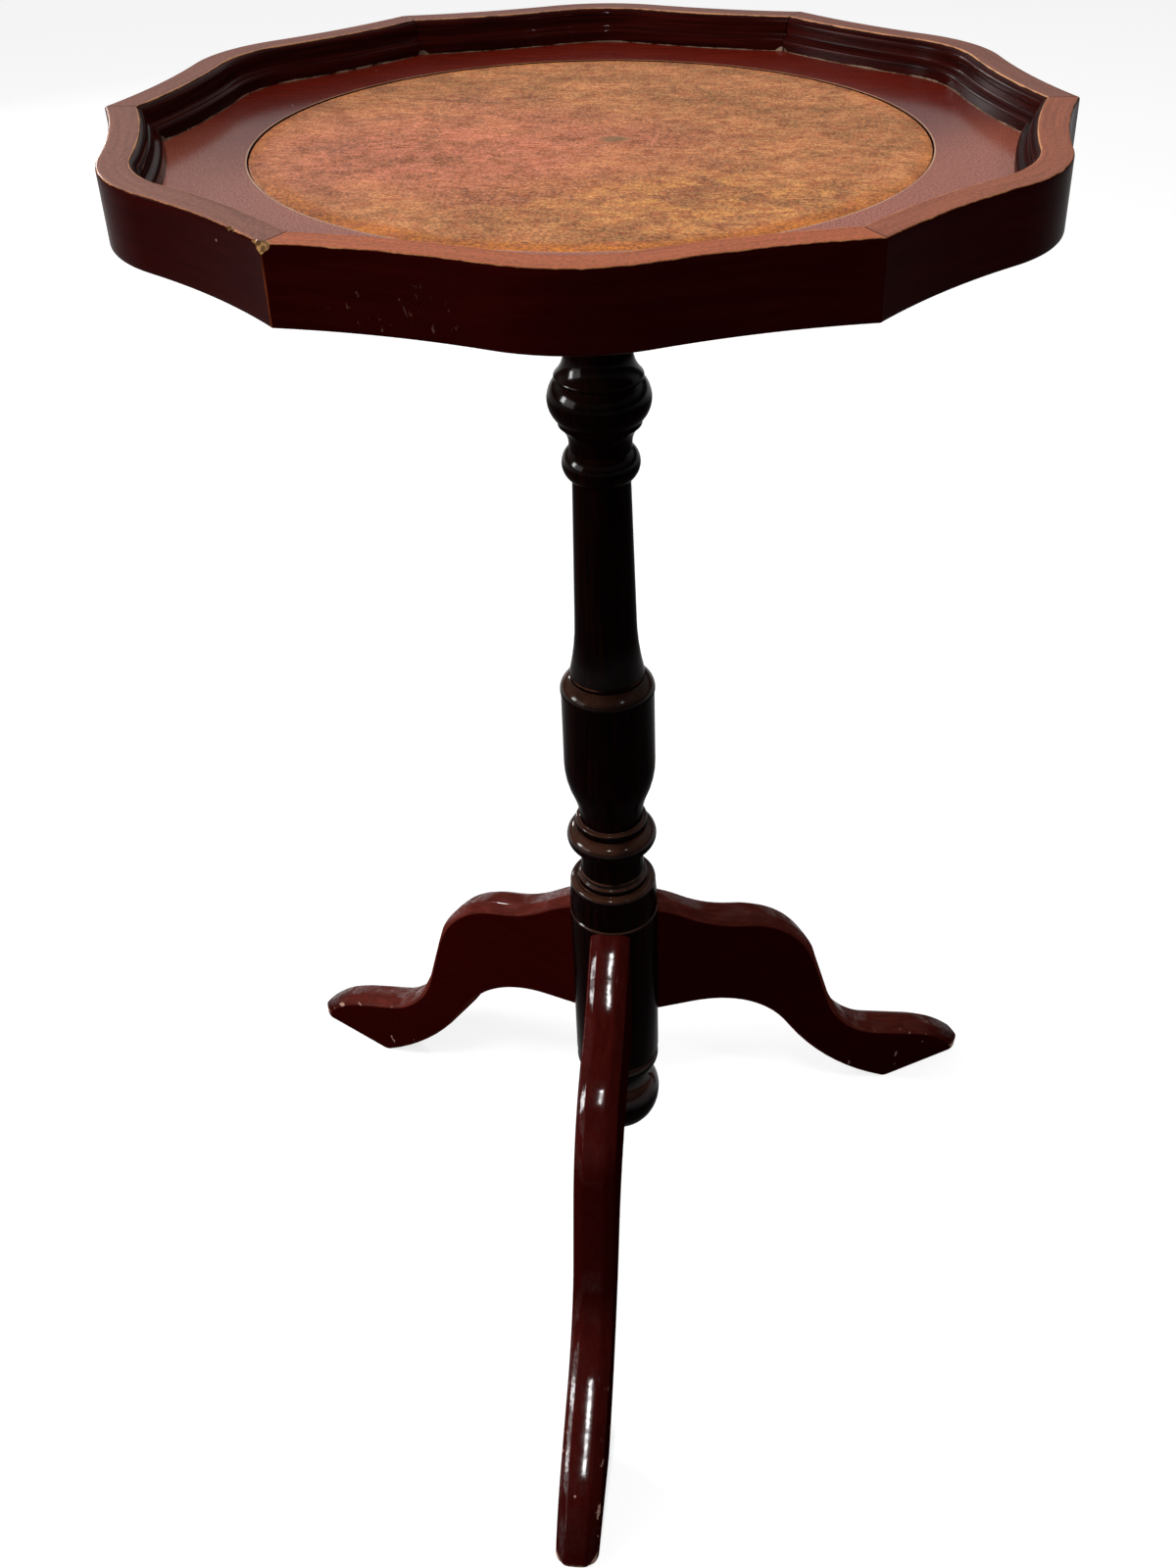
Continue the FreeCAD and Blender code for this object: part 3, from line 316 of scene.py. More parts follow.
@dataclass(frozen=True)
class RimFinish(Finish):
    """A finish of the rim, with bare wood where it has been knocked."""

    bare: ClassVar[Colour] = (0.270, 0.142, 0.056)
    hollow: ClassVar[Colour] = (0.080, 0.042, 0.016)

    def knocked(self, graph: Graph, colour: Shade, fine: Shade) -> Shade:
        """Lay bare wood over a colour where the rim has lost some."""
        wood = graph.mix(graph.rise(fine, 0.42, 0.62), self.hollow, self.bare)
        return graph.mix(graph.attribute("bare"), colour, wood)

    def onward(self, graph: Graph, run: Shade, place: RimPlace) -> Shade:
        """Mask the segments from one on, by their run, which counts whole segments."""
        return graph.rise(run, place.value - 0.51, place.value - 0.49)


@dataclass(frozen=True)
class RimTopFinish(RimFinish):
    """Lacquer on the rim's flat and moulding: dust and a painted sheen on the flat, painted light on the
    front segments' flat, dark gloss inside, worn arrises.
    """

    rim_top: float
    flat_width: float
    foot: float
    deep: Colour = (0.008, 0.0010, 0.0008)
    red: Colour = (0.024, 0.0022, 0.0014)
    # the flat's colour: dust with a painted sheen
    haze_and_painted_sheen: Colour = (0.190, 0.0700, 0.0470)
    # painted light: the front segments' flat is painted lighter
    painted_front_light: Colour = (0.340, 0.0850, 0.0310)
    worn: Colour = (0.500, 0.2400, 0.1150)
    dust: Colour = (0.450, 0.3300, 0.2200)

    def paint(self, graph: Graph) -> None:
        """Lay the finish's nodes.

        Args:
            graph: the material's node tree.
        """
        place = graph.place()
        x, _y, z = graph.split(place)
        run, inset, seam = (graph.attribute(name) for name in ("run", "inset", "seam"))
        grain = graph.streaks(run * 30.0, inset * 700.0, z * 700.0)
        clouds = graph.noise(place, 45.0, detail=3.0)
        fine = graph.noise(place, 900.0, detail=2.0)
        wood = graph.mix(graph.rise(grain, 0.3, 0.75), self.deep, self.red)
        flat = graph.rise(z, self.rim_top - 0.25 * MM, self.rim_top - 0.05 * MM)
        # the front segments, where the flat gets the painted light
        from_front = self.onward(graph, run, RimPlace.FRONT)
        front = from_front - self.onward(graph, run, RimPlace.FRONT_RIGHT) * 0.5
        # the flat: dust with a painted sheen, and painted light on the front segments
        top = graph.mix(front, self.haze_and_painted_sheen, self.painted_front_light)
        top = graph.tint(top, 0.45 + graph.rise(grain, 0.2, 0.8) * 0.4 + graph.rise(fine, 0.2, 0.8) * 0.55)
        colour = graph.mix(flat, wood, top)
        rubbing = graph.streaks(run * 110.0, inset * 60.0, 0.0, detail=5.0)
        rub_width = 0.12 * MM + graph.rise(rubbing, 0.40, 0.75) * 0.25 * MM
        outer = ((inset - 0.2 * MM) ** 2.0 + (z - (self.rim_top - 0.2 * MM)) ** 2.0) ** 0.5
        inner = ((inset - self.flat_width) ** 2.0 + (z - self.rim_top) ** 2.0) ** 0.5
        outer_rub = graph.rise(rub_width - outer, -0.1 * MM, 0.2 * MM)
        inner_rub = graph.rise(rub_width + 0.20 * MM - inner, -0.1 * MM, 0.2 * MM)
        wear_and_painted_sheen = (outer_rub | inner_rub) * graph.rise(rubbing, 0.25, 0.55)
        colour = graph.mix(wear_and_painted_sheen * 0.80, colour, self.worn)
        joint = 1.0 - graph.rise(seam, 0.10 * MM, 0.35 * MM)
        colour = graph.mix(joint * 0.85, colour, self.deep)
        settled = 1.0 - graph.rise(seam, 0.5 * MM, 3.0 * MM)
        dust_line = self.foot + 0.2 * MM + settled * 1.5 * MM + graph.rise(clouds, 0.4, 0.7) * 0.5 * MM
        inside = graph.rise(z, self.foot - 0.4 * MM, self.foot - 0.2 * MM)
        dust = inside - graph.rise(z - dust_line + fine * 0.5 * MM, 0.0, 0.4 * MM)
        colour = graph.mix(dust * graph.rise(rubbing, 0.35, 0.6) * 0.45, colour, self.dust)
        colour = graph.mix(graph.specks(place, 90.0, size=0.045, share=0.12) & flat, colour, self.dust)
        colour = self.knocked(graph, colour, fine)
        ripple = graph.streaks(run * 120.0, inset * 400.0, z * 400.0, detail=2.0, roughness=0.5)
        dulled = graph.rise(x, 0.02, 0.09) * 0.22
        roughness = 0.07 + flat * 0.2 + wear_and_painted_sheen * 0.3 + dust * 0.3 + dulled
        feeds = {"Base Color": colour, "Roughness": roughness, "Specular IOR Level": 0.019,
                 "Coat Weight": flat * 0.28, "Coat Roughness": 0.28,
                 "Normal": graph.bump(ripple, 0.03 * MM)}
        graph.principled(feeds)


@dataclass(frozen=True)
class RimFaceFinish(RimFinish):
    """Very dark red lacquer on the rim's outer face, scuffed low on the front."""

    rim_top: float
    rim_bottom: float
    scuffed_run: float
    deep: Colour = (0.0105, 0.0003, 0.0003)
    red: Colour = (0.0165, 0.0008, 0.0006)
    worn: Colour = (0.4000, 0.1700, 0.0750)
    rust: Colour = (0.1500, 0.0300, 0.0080)
    scuff: Colour = (0.1700, 0.1100, 0.0800)

    def paint(self, graph: Graph) -> None:
        """Lay the finish's nodes.

        Args:
            graph: the material's node tree.
        """
        place = graph.place()
        x, y, z = graph.split(place)
        run, seam = (graph.attribute(name) for name in ("run", "seam"))
        grain = graph.streaks(run * 25.0, 0.0, z * 300.0)
        clouds = graph.noise(place, 60.0, detail=3.0)
        fine = graph.noise(place, 900.0, detail=2.0)
        colour = graph.mix(graph.rise(grain, 0.3, 0.85), self.deep, self.red)
        rubbing = graph.streaks(run * 110.0, 0.0, 0.0, detail=5.0)
        rub_depth = 0.2 * MM + graph.rise(rubbing, 0.45, 0.75) * 0.35 * MM
        arris = graph.rise(rub_depth - (self.rim_top - z), -0.1 * MM, 0.2 * MM)
        colour = graph.mix(arris * graph.rise(rubbing, 0.25, 0.55) * 0.75, colour, self.worn)
        joint = 1.0 - graph.rise(seam + clouds * 0.6 * MM, 0.3 * MM, 0.8 * MM)
        front_left = graph.rise(-y, 0.10, 0.13) & graph.rise(-x, 0.0, 0.03)
        colour = graph.mix((joint & front_left) * graph.rise(clouds, 0.3, 0.6), colour, self.rust)
        near = graph.oval(run, z, (self.scuffed_run, self.rim_bottom + 7.0 * MM), (22.0 * MM, 9.0 * MM))
        marks = graph.streaks(run * 500.0, 0.0, z * 300.0, detail=3.0)
        scratches = graph.streaks(run * 900.0 + z * 300.0, 0.0, z * 60.0, detail=2.0, roughness=0.5)
        scuffs = graph.rise(marks, 0.62, 0.72) | graph.rise(scratches, 0.70, 0.74)
        colour = graph.mix(scuffs * (1.0 - graph.rise(near, 0.5, 1.1)) * 0.35, colour, self.scuff)
        colour = graph.mix(graph.specks(place, 60.0, size=0.03, share=0.14) * 0.7, colour, self.scuff)
        colour = self.knocked(graph, colour, fine)
        feeds = {"Base Color": colour, "Roughness": 0.22 + clouds * 0.15, "Specular IOR Level": 0.003}
        graph.principled(feeds)


@dataclass(frozen=True)
class PanelFinish(Finish):
    """Red lacquer on the board inside the rim, with dust and a painted sheen towards the front and right,
    painted shade down the recess wall and a pale cut edge round the leather.
    """

    recess_radius: float
    panel_top: float
    deep: Colour = (0.070, 0.0045, 0.0018)
    red: Colour = (0.128, 0.0095, 0.0034)
    # dust with a painted sheen, laid towards the front and the right
    dust_and_painted_sheen: Colour = (0.480, 0.1550, 0.0950)
    cut_edge: Colour = (0.480, 0.2900, 0.1600)
    # painted shade: near-black colour of the recess wall round the leather
    painted_gap_shade: Colour = (0.006, 0.0040, 0.0030)
    raw: Colour = (0.090, 0.0350, 0.0180)
    dust: Colour = (0.450, 0.3300, 0.2800)

    def paint(self, graph: Graph) -> None:
        """Lay the finish's nodes.

        Args:
            graph: the material's node tree.
        """
        place = graph.place()
        x, y, z = graph.split(place)
        grain = graph.streaks(x * 40.0, y * 800.0, 0.0)
        clouds = graph.noise(place, 40.0, detail=3.0)
        fine = graph.noise(place, 1700.0, detail=2.0)
        colour = graph.mix(graph.rise(grain, 0.3, 0.75), self.deep, self.red)
        # the right side, which gets more of the painted sheen in its colour and less coat
        right = graph.rise(x - y, 0.07, 0.14)
        # where the dust and painted sheen go: towards the front and the right
        dusty_painted_sheen = graph.rise(-y + clouds * 0.03, -0.03, 0.09) | right * 0.95
        colour = graph.mix(dusty_painted_sheen * (0.25 + graph.rise(fine, 0.3, 0.7) * 0.75) * 0.7, colour, self.dust_and_painted_sheen)
        radius = (x ** 2.0 + y ** 2.0) ** 0.5
        edge = graph.band(radius, self.recess_radius + 0.25 * MM, 0.12 * MM, 0.2 * MM)
        worn_edge = 0.45 + graph.rise(clouds, 0.35, 0.65) * 0.45
        colour = graph.mix(edge * worn_edge, colour, self.cut_edge)
        colour = graph.mix(graph.specks(place, 110.0, size=0.05, share=0.10), colour, self.dust)
        upper = graph.rise(z, self.panel_top - 0.3 * MM, self.panel_top - 0.05 * MM)
        # painted shade: the top of the recess wall is painted nearly black, the rest raw wood
        recess_wall = graph.rise(z, self.panel_top - 2.5 * MM, self.panel_top - 2.0 * MM)
        raw = graph.mix(recess_wall, self.raw, self.painted_gap_shade)
        colour = graph.mix(upper, raw, colour)
        normal = graph.bump(fine, 0.010 * MM)
        sheen = upper * (0.45 + graph.rise(fine, 0.3, 0.7) * 0.35)
        sheen = sheen * (1.0 - graph.rise(y, 0.03, 0.10) * 0.35 - right * 0.15)
        feeds = {"Base Color": colour, "Roughness": 0.6, "Specular IOR Level": 0.02, "Normal": normal,
                 "Coat Weight": sheen, "Coat Roughness": 0.15}
        graph.principled(feeds)


@dataclass(frozen=True)
class LeatherFinish(Finish):
    """Mottled antique-dyed leather: salmon, tan, olive and yellow, smeared across."""

    radius: float
    salmon: Colour = (0.515, 0.168, 0.098)
    tan: Colour = (0.470, 0.200, 0.078)
    olive: Colour = (0.380, 0.172, 0.064)
    umber: Colour = (0.310, 0.088, 0.034)
    yellow: Colour = (0.560, 0.265, 0.060)
    brown: Colour = (0.430, 0.135, 0.020)
    shadow: Colour = (0.130, 0.060, 0.030)
    ink: Colour = (0.060, 0.035, 0.020)
    green: Colour = (0.130, 0.115, 0.050)
    warm_middle: tuple[float, float] = (-0.050, -0.012)
    gold_middle: tuple[float, float] = (0.048, -0.066)
    blemish: tuple[float, float] = (0.0067, 0.0008)
    smudge: tuple[float, float] = (-0.0790, -0.0141)
    scratched: tuple[float, float] = (-0.065, 0.035)

    def paint(self, graph: Graph) -> None:
        """Lay the finish's nodes.

        Args:
            graph: the material's node tree.
        """
        place = graph.place()
        x, y, _z = graph.split(place)
        clouds = graph.streaks(x * 24.0, y * 30.0, 0.0, roughness=0.58, distortion=0.5)
        patches = graph.streaks(x * 70.0, y * 90.0, 4.0, detail=5.0, roughness=0.66, distortion=0.6)
        smears = graph.streaks(x * 190.0, y * 240.0, 0.0, roughness=0.66, distortion=0.5)
        fine = graph.noise(place, 1100.0, detail=3.0, roughness=0.7)
        hairs = graph.streaks(x * 130.0, y * 620.0, 2.0)
        drift = (clouds - 0.5) * 1.7 + (patches - 0.5) * 1.1
        colour = graph.mix(graph.rise(patches + (clouds - 0.5) * 0.5, 0.32, 0.64), self.olive, self.tan)
        warm = 1.0 - graph.rise(graph.oval(x, y, self.warm_middle, (0.085, 0.058)) + drift, 0.40, 1.35)
        colour = graph.mix(warm * (0.55 + graph.rise(patches, 0.35, 0.6) * 0.4), colour, self.salmon)
        gold_reach = graph.oval(x, y, self.gold_middle, (0.062, 0.032)) + drift
        gold = (1.0 - graph.rise(gold_reach, 0.5, 1.3)) & graph.rise(patches, 0.42, 0.64)
        colour = graph.mix(gold * 0.6, colour, self.yellow)
        edge = graph.oval(x, y, (0.0, 0.0), (self.radius, self.radius)) + (clouds - 0.5) * 0.06
        front = graph.rise(-y, 0.030, 0.085) & graph.rise(edge, 0.91, 0.96)
        colour = graph.mix(front * 0.9, colour, self.brown)
        colour = graph.mix(graph.rise(edge, 0.955, 0.995) * 0.55, colour, self.brown)
        dyed = graph.rise(hairs, 0.44, 0.60) * 0.45 + graph.rise(smears, 0.44, 0.62) * 0.50
        colour = graph.mix(dyed, colour, self.umber)
        texture = graph.rise(fine, 0.36, 0.64) * 0.76 + graph.rise(patches, 0.32, 0.62) * 0.26
        texture = texture + graph.rise(clouds, 0.3, 0.7) * 0.28
        colour = graph.tint(colour, 0.27 + texture)
        lines = graph.streaks(x * 22.0 + y * 9.0, y * 520.0 + x * 100.0, 9.0, detail=2.0, roughness=0.5)
        scored = 1.0 - graph.rise(graph.oval(x, y, self.scratched, (0.045, 0.030)), 0.6, 1.1)
        colour = graph.mix(graph.rise(lines, 0.57, 0.63) * scored * 0.6, colour, self.shadow)
        smudged = 1.0 - graph.rise(graph.oval(x, y, self.smudge, (0.009, 0.009)) + drift * 0.5, 0.3, 1.0)
        colour = graph.mix(smudged * graph.rise(smears, 0.35, 0.6) * 0.6, colour, self.shadow)
        spot = 1.0 - graph.rise(graph.oval(x, y, self.blemish, (0.0065, 0.0050)) + drift * 0.7, 0.4, 0.9)
        colour = graph.mix(spot * graph.rise(fine, 0.40, 0.60), colour, self.green)
        colour = graph.mix(graph.specks(place, 48.0, size=0.030, share=0.30), colour, self.ink)
        feeds = {"Base Color": colour, "Roughness": 0.6, "Specular IOR Level": 0.12,
                 "Normal": graph.bump(fine + smears, 0.03 * MM)}
        graph.principled(feeds)


@dataclass(frozen=True)
class TurnedFinish(Finish):
    """Nearly black lacquer on the turned column, with dust on its ledges and dust with a painted sheen on
    its upward faces, taken out near the top as painted shade.
    """

    ledges: tuple[float, ...] = (0.2995, 0.1980)
    deep: Colour = (0.0012, 0.0003, 0.0003)
    red: Colour = (0.0050, 0.0010, 0.0007)
    # heights over which the upward faces' dust and painted sheen give way to painted shade
    painted_shade_from: tuple[float, float] = (0.32, 0.36)
    # dust with a painted sheen on the upward faces
    dust_and_painted_sheen: Colour = (0.0320, 0.0135, 0.0085)
    dust: Colour = (0.0700, 0.0300, 0.0180)

    def paint(self, graph: Graph) -> None:
        """Lay the finish's nodes.

        Args:
            graph: the material's node tree.
        """
        place = graph.place()
        x, y, z = graph.split(place)
        grain = graph.streaks(x * 500.0, y * 500.0, z * 25.0)
        colour = graph.mix(graph.rise(grain, 0.35, 0.8), self.deep, self.red)
        clouds = graph.noise(place, 80.0, detail=3.0)
        # dust and a painted sheen on the upward faces, taken out near the top as painted shade
        painted_sheen_and_dust_share = graph.rise(graph.upward(), 0.15, 0.70) * (0.5 + graph.rise(clouds, 0.35, 0.65) * 0.5)
        colour = graph.mix(painted_sheen_and_dust_share * (1.0 - graph.rise(z, *self.painted_shade_from) * 0.9), colour, self.dust_and_painted_sheen)
        for ledge in self.ledges:
            settled = graph.band(z, ledge, 0.2 * MM, 0.5 * MM) * graph.rise(clouds, 0.35, 0.6)
            colour = graph.mix(settled * 0.6, colour, self.dust)
        polished = graph.rise(graph.upward(), 0.05, 0.40)
        normal = graph.bump(graph.noise(place, 350.0, detail=2.0), 0.03 * MM)
        feeds = {"Base Color": colour, "Roughness": 0.15 + clouds * 0.1, "Specular IOR Level": 0.001,
                 "Normal": normal, "Coat Weight": polished * (0.3 + graph.rise(clouds, 0.3, 0.6) * 0.3),
                 "Coat IOR": 1.25, "Coat Roughness": 0.12, "Coat Tint": (1.0, 0.86, 0.76)}
        graph.principled(feeds)


@dataclass(frozen=True)
class LegFinish(Finish):
    """Dark red glossy lacquer on a sawn leg, with its grain along the leg, dust and a painted sheen on its
    upper side, and scuffs at the foot.
    """

    turn: float
    half_width: float
    polish: float
    # colour of the upper side: dust with a painted sheen
    wear_and_painted_sheen: Colour
    dull_from: float = 1.0  # distance across where the gloss ends: past the leg, for none
    # over this stretch the upper side's dust and painted sheen are left out, so it stays dark
    dark_run: tuple[float, float] = (1.0, 0.0)  # middle and half height of a dark stretch
    foot_height: float = 32.0 * MM
    deep: Colour = (0.0085, 0.0003, 0.0003)
    red: Colour = (0.0175, 0.0012, 0.0008)
    bare: Colour = (0.4200, 0.2600, 0.2000)

    def paint(self, graph: Graph) -> None:
        """Lay the finish's nodes.

        Args:
            graph: the material's node tree.
        """
        place = graph.place(self.turn)
        along, across, z = graph.split(place)
        grain = graph.streaks(along * 20.0, across * 400.0, z * 300.0, detail=5.0, roughness=0.7)
        clouds = graph.noise(place, 70.0, detail=3.0)
        fine = graph.noise(place, 800.0, detail=2.0)
        mottle = graph.streaks(along * 90.0, across * 420.0, z * 90.0, roughness=0.65)
        colour = graph.mix(graph.rise(grain, 0.1, 0.9) * 0.6 + fine * 0.4, self.deep, self.red)
        upper = 1.0 - graph.rise(abs(across), self.half_width - 0.3 * MM, self.half_width - 0.05 * MM)
        # the upper side's dust and painted sheen thin out towards the foot
        high = graph.rise(z, self.foot_height * 0.25, self.foot_height * 0.9) * 0.8 + 0.2
        dust_and_painted_sheen = high * (0.55 + graph.rise(mottle, 0.35, 0.7) * 0.45)
        dust_and_painted_sheen = dust_and_painted_sheen * (1.0 - graph.band(z, *self.dark_run, 16.0 * MM) * 0.85)
        # the upper side painted lighter: dust with a painted sheen
        colour = graph.mix(upper * dust_and_painted_sheen, colour, self.wear_and_painted_sheen)
        low = 1.0 - graph.rise(z, self.foot_height * 0.5, self.foot_height * 1.4)
        edge = graph.rise(abs(across), self.half_width - 2.4 * MM, self.half_width - 0.9 * MM) & upper
        nicks = graph.rise(graph.noise(place, 230.0, detail=3.0, roughness=0.6), 0.62, 0.68)
        sole = (1.0 - graph.rise(z + clouds * 3.0 * MM, 5.2 * MM, 6.6 * MM)) & upper
        slanted = along * 300.0 + across * 500.0
        scores = graph.streaks(slanted, across * 80.0, z * 120.0, detail=3.0, roughness=0.5)
        chips = graph.specks(place, 150.0, size=0.09, share=0.10) | graph.rise(scores, 0.71, 0.75) * 0.6
        chips = chips | nicks * edge | sole * graph.rise(mottle, 0.42, 0.56)
        chips = chips * low | graph.specks(place, 40.0, size=0.02, share=0.10)
        colour = graph.mix(chips * 0.7, colour, self.bare)
        pits = graph.noise(place, 620.0, detail=3.0, roughness=0.6)
        polished = upper * graph.rise(graph.upward(), 0.35, 0.60)
        polished = polished * (0.25 + graph.rise(clouds, 0.40, 0.50) * 0.75)
        polished = polished * (1.0 - graph.rise(across, self.dull_from, self.dull_from + 2.0 * MM) * 0.9)
        polished = polished * (0.35 + graph.rise(pits, 0.40, 0.58) * 0.65)
        feeds = {"Base Color": colour, "Roughness": 0.30, "Specular IOR Level": 0.0,
                 "Normal": graph.bump(pits, 0.05 * MM), "Coat Weight": polished * self.polish,
                 "Coat IOR": 1.25, "Coat Roughness": 0.08}
        graph.principled(feeds)


@dataclass(frozen=True)
class InnerWoodFinish(Finish):
    """Plain beech of the hidden block, tongues and dowels."""

    pale: Colour = (0.360, 0.210, 0.100)
    dark: Colour = (0.240, 0.130, 0.060)

    def paint(self, graph: Graph) -> None:
        """Lay the finish's nodes.

        Args:
            graph: the material's node tree.
        """
        x, y, z = graph.split(graph.place())
        grain = graph.streaks(x * 40.0, y * 600.0, z * 600.0)
        colour = graph.mix(grain, self.dark, self.pale)
        feeds = {"Base Color": colour, "Roughness": 0.55, "Specular IOR Level": 0.03}
        graph.principled(feeds)


@dataclass(frozen=True)
class BrassFinish(Finish):
    """Dull brass of the wood screws."""

    bright: Colour = (0.600, 0.420, 0.180)
    dull: Colour = (0.260, 0.170, 0.070)

    def paint(self, graph: Graph) -> None:
        """Lay the finish's nodes.

        Args:
            graph: the material's node tree.
        """
        tarnish = graph.noise(graph.place(), 600.0, detail=3.0)
        colour = graph.mix(tarnish, self.bright, self.dull)
        feeds = {"Base Color": colour, "Metallic": 1.0, "Roughness": 0.3 + tarnish * 0.3}
        graph.principled(feeds)


@dataclass(frozen=True)
class FloorFinish(Finish):
    """Plain pale floor that the camera sees as white, with the object's shadow kept."""

    pale: Colour = (0.360, 0.360, 0.360)
    glow: float = 0.74

    def paint(self, graph: Graph) -> None:
        """Lay the finish's nodes.

        Args:
            graph: the material's node tree.
        """
        rays = graph.add("ShaderNodeLightPath", out="Is Camera Ray")
        seen = rays | rays.out("Is Glossy Ray") | rays.out("Is Transmission Ray")
        matt = graph.add("ShaderNodeBsdfDiffuse", None, {"Color": self.pale})
        white = graph.add("ShaderNodeEmission", None, {"Strength": seen * self.glow})
        graph.surface(graph.add("ShaderNodeAddShader", None, {0: matt, 1: white}))


class Quarter(Enum):
    """The way in which a quarter round starts."""

    LEVEL = "leaves level and arrives upright"
    UPRIGHT = "leaves upright and arrives level"


class Section:
    """A moulding's outline, walked as straight runs and quarter rounds."""

    def __init__(self, inset: float, level: float) -> None:
        """Start at a point, as an inset from the outer face and a height."""
        self.points: list[tuple[float, float]] = [(inset, level)]

    def to(self, inset: float, level: float, steps: int = 1) -> "Section":
        """Walk straight to a point.

        Args:
            inset: the end's inset.
            level: the end's height.
            steps: pieces that the run is cut into.

        Returns:
            The section, to walk on.
        """
        from_inset, from_level = self.points[-1]
        for step in range(1, steps + 1):
            self.points.append((from_inset + (inset - from_inset) * step / steps,
                                from_level + (level - from_level) * step / steps))
        return self

    def round(self, inset: float, level: float, start: Quarter, steps: int = 4) -> "Section":
        """Walk a quarter round to a point.

        Args:
            inset: the end's inset.
            level: the end's height.
            start: the way in which it starts.
            steps: straight pieces in the quarter.

        Returns:
            The section, to walk on.
        """
        from_inset, from_level = self.points[-1]
        for step in range(1, steps + 1):
            angle = 0.5 * math.pi * step / steps
            level_share, upright_share = math.sin(angle), 1.0 - math.cos(angle)
            if start is Quarter.UPRIGHT:
                level_share, upright_share = upright_share, level_share
            self.points.append((from_inset + (inset - from_inset) * level_share,
                                from_level + (level - from_level) * upright_share))
        return self


@dataclass(frozen=True)
class PlanLine:
    """The rim's plan line in one segment: a bow in the middle, a hollow sweep to each corner."""

    crown: float = 156.4 * MM
    corner: float = 157.0 * MM
    bow: float = 53.0 * MM
    sweep: float = 230.0 * MM
    mitre: float = math.radians(30.0)

    @property
    def bow_centre(self) -> Vector:
        """Middle of the bow's arc."""
        return Vector((self.crown - self.bow, 0.0, 0.0))

    @property
    def bow_angle(self) -> float:
        """Work out half of the angle that the bow spans.

        Returns:
            The angle, in radians.
        """
        out = self.corner * math.cos(self.mitre) - self.bow_centre.x
        along = self.corner * math.sin(self.mitre)
        reach = math.hypot(out, along)
        span = self.bow + self.sweep
        share = (reach ** 2 + span ** 2 - self.sweep ** 2) / (2.0 * span * reach)
        return math.atan2(along, out) - math.acos(share)

    @property
    def sweep_centre(self) -> Vector:
        """Middle of the sweep's arc, outside the rim."""
        heading = Vector((math.cos(self.bow_angle), math.sin(self.bow_angle), 0.0))
        return self.bow_centre + heading * (self.bow + self.sweep)

    @property
    def sweep_angle(self) -> float:
        """Angle of the sweep from the bow to the corner."""
        corner = Vector((math.cos(self.mitre), math.sin(self.mitre), 0.0)) * self.corner
        return (self.bow_centre - self.sweep_centre).angle(corner - self.sweep_centre)

    def inset(self, point: Vector) -> float:
        """Measure how far a point lies inside the outer face.

        Args:
            point: a point in the segment's own frame.

        Returns:
            The distance, in metres.
        """
        flat = Vector((point.x, abs(point.y), 0.0))
        from_bow = flat - self.bow_centre
        if math.atan2(from_bow.y, from_bow.x) < self.bow_angle:
            return self.bow - from_bow.length
        return (flat - self.sweep_centre).length - self.sweep


@dataclass(frozen=True)
class Knock:
    """A place where a ball-shaped bite of wood has broken away."""

    middle: tuple[float, float, float]
    radius: float
    ragged: float = 0.10
    waves: float = 600.0

    def near(self, point: Vector) -> bool:
        """Tell whether a point is within twice the bite's radius."""
        return (point - Vector(self.middle)).length < 2.0 * self.radius

    def pushed(self, point: Vector) -> Vector:
        """Move a point inside the bite out to its ragged surface.

        Args:
            point: a point of the wood.

        Returns:
            The point's new place.
        """
        offset = point - Vector(self.middle)
        reach = self.radius * (1.0 + self.ragged * noise.noise(point * self.waves))
        return Vector(self.middle) + offset.normalized() * max(reach, offset.length)


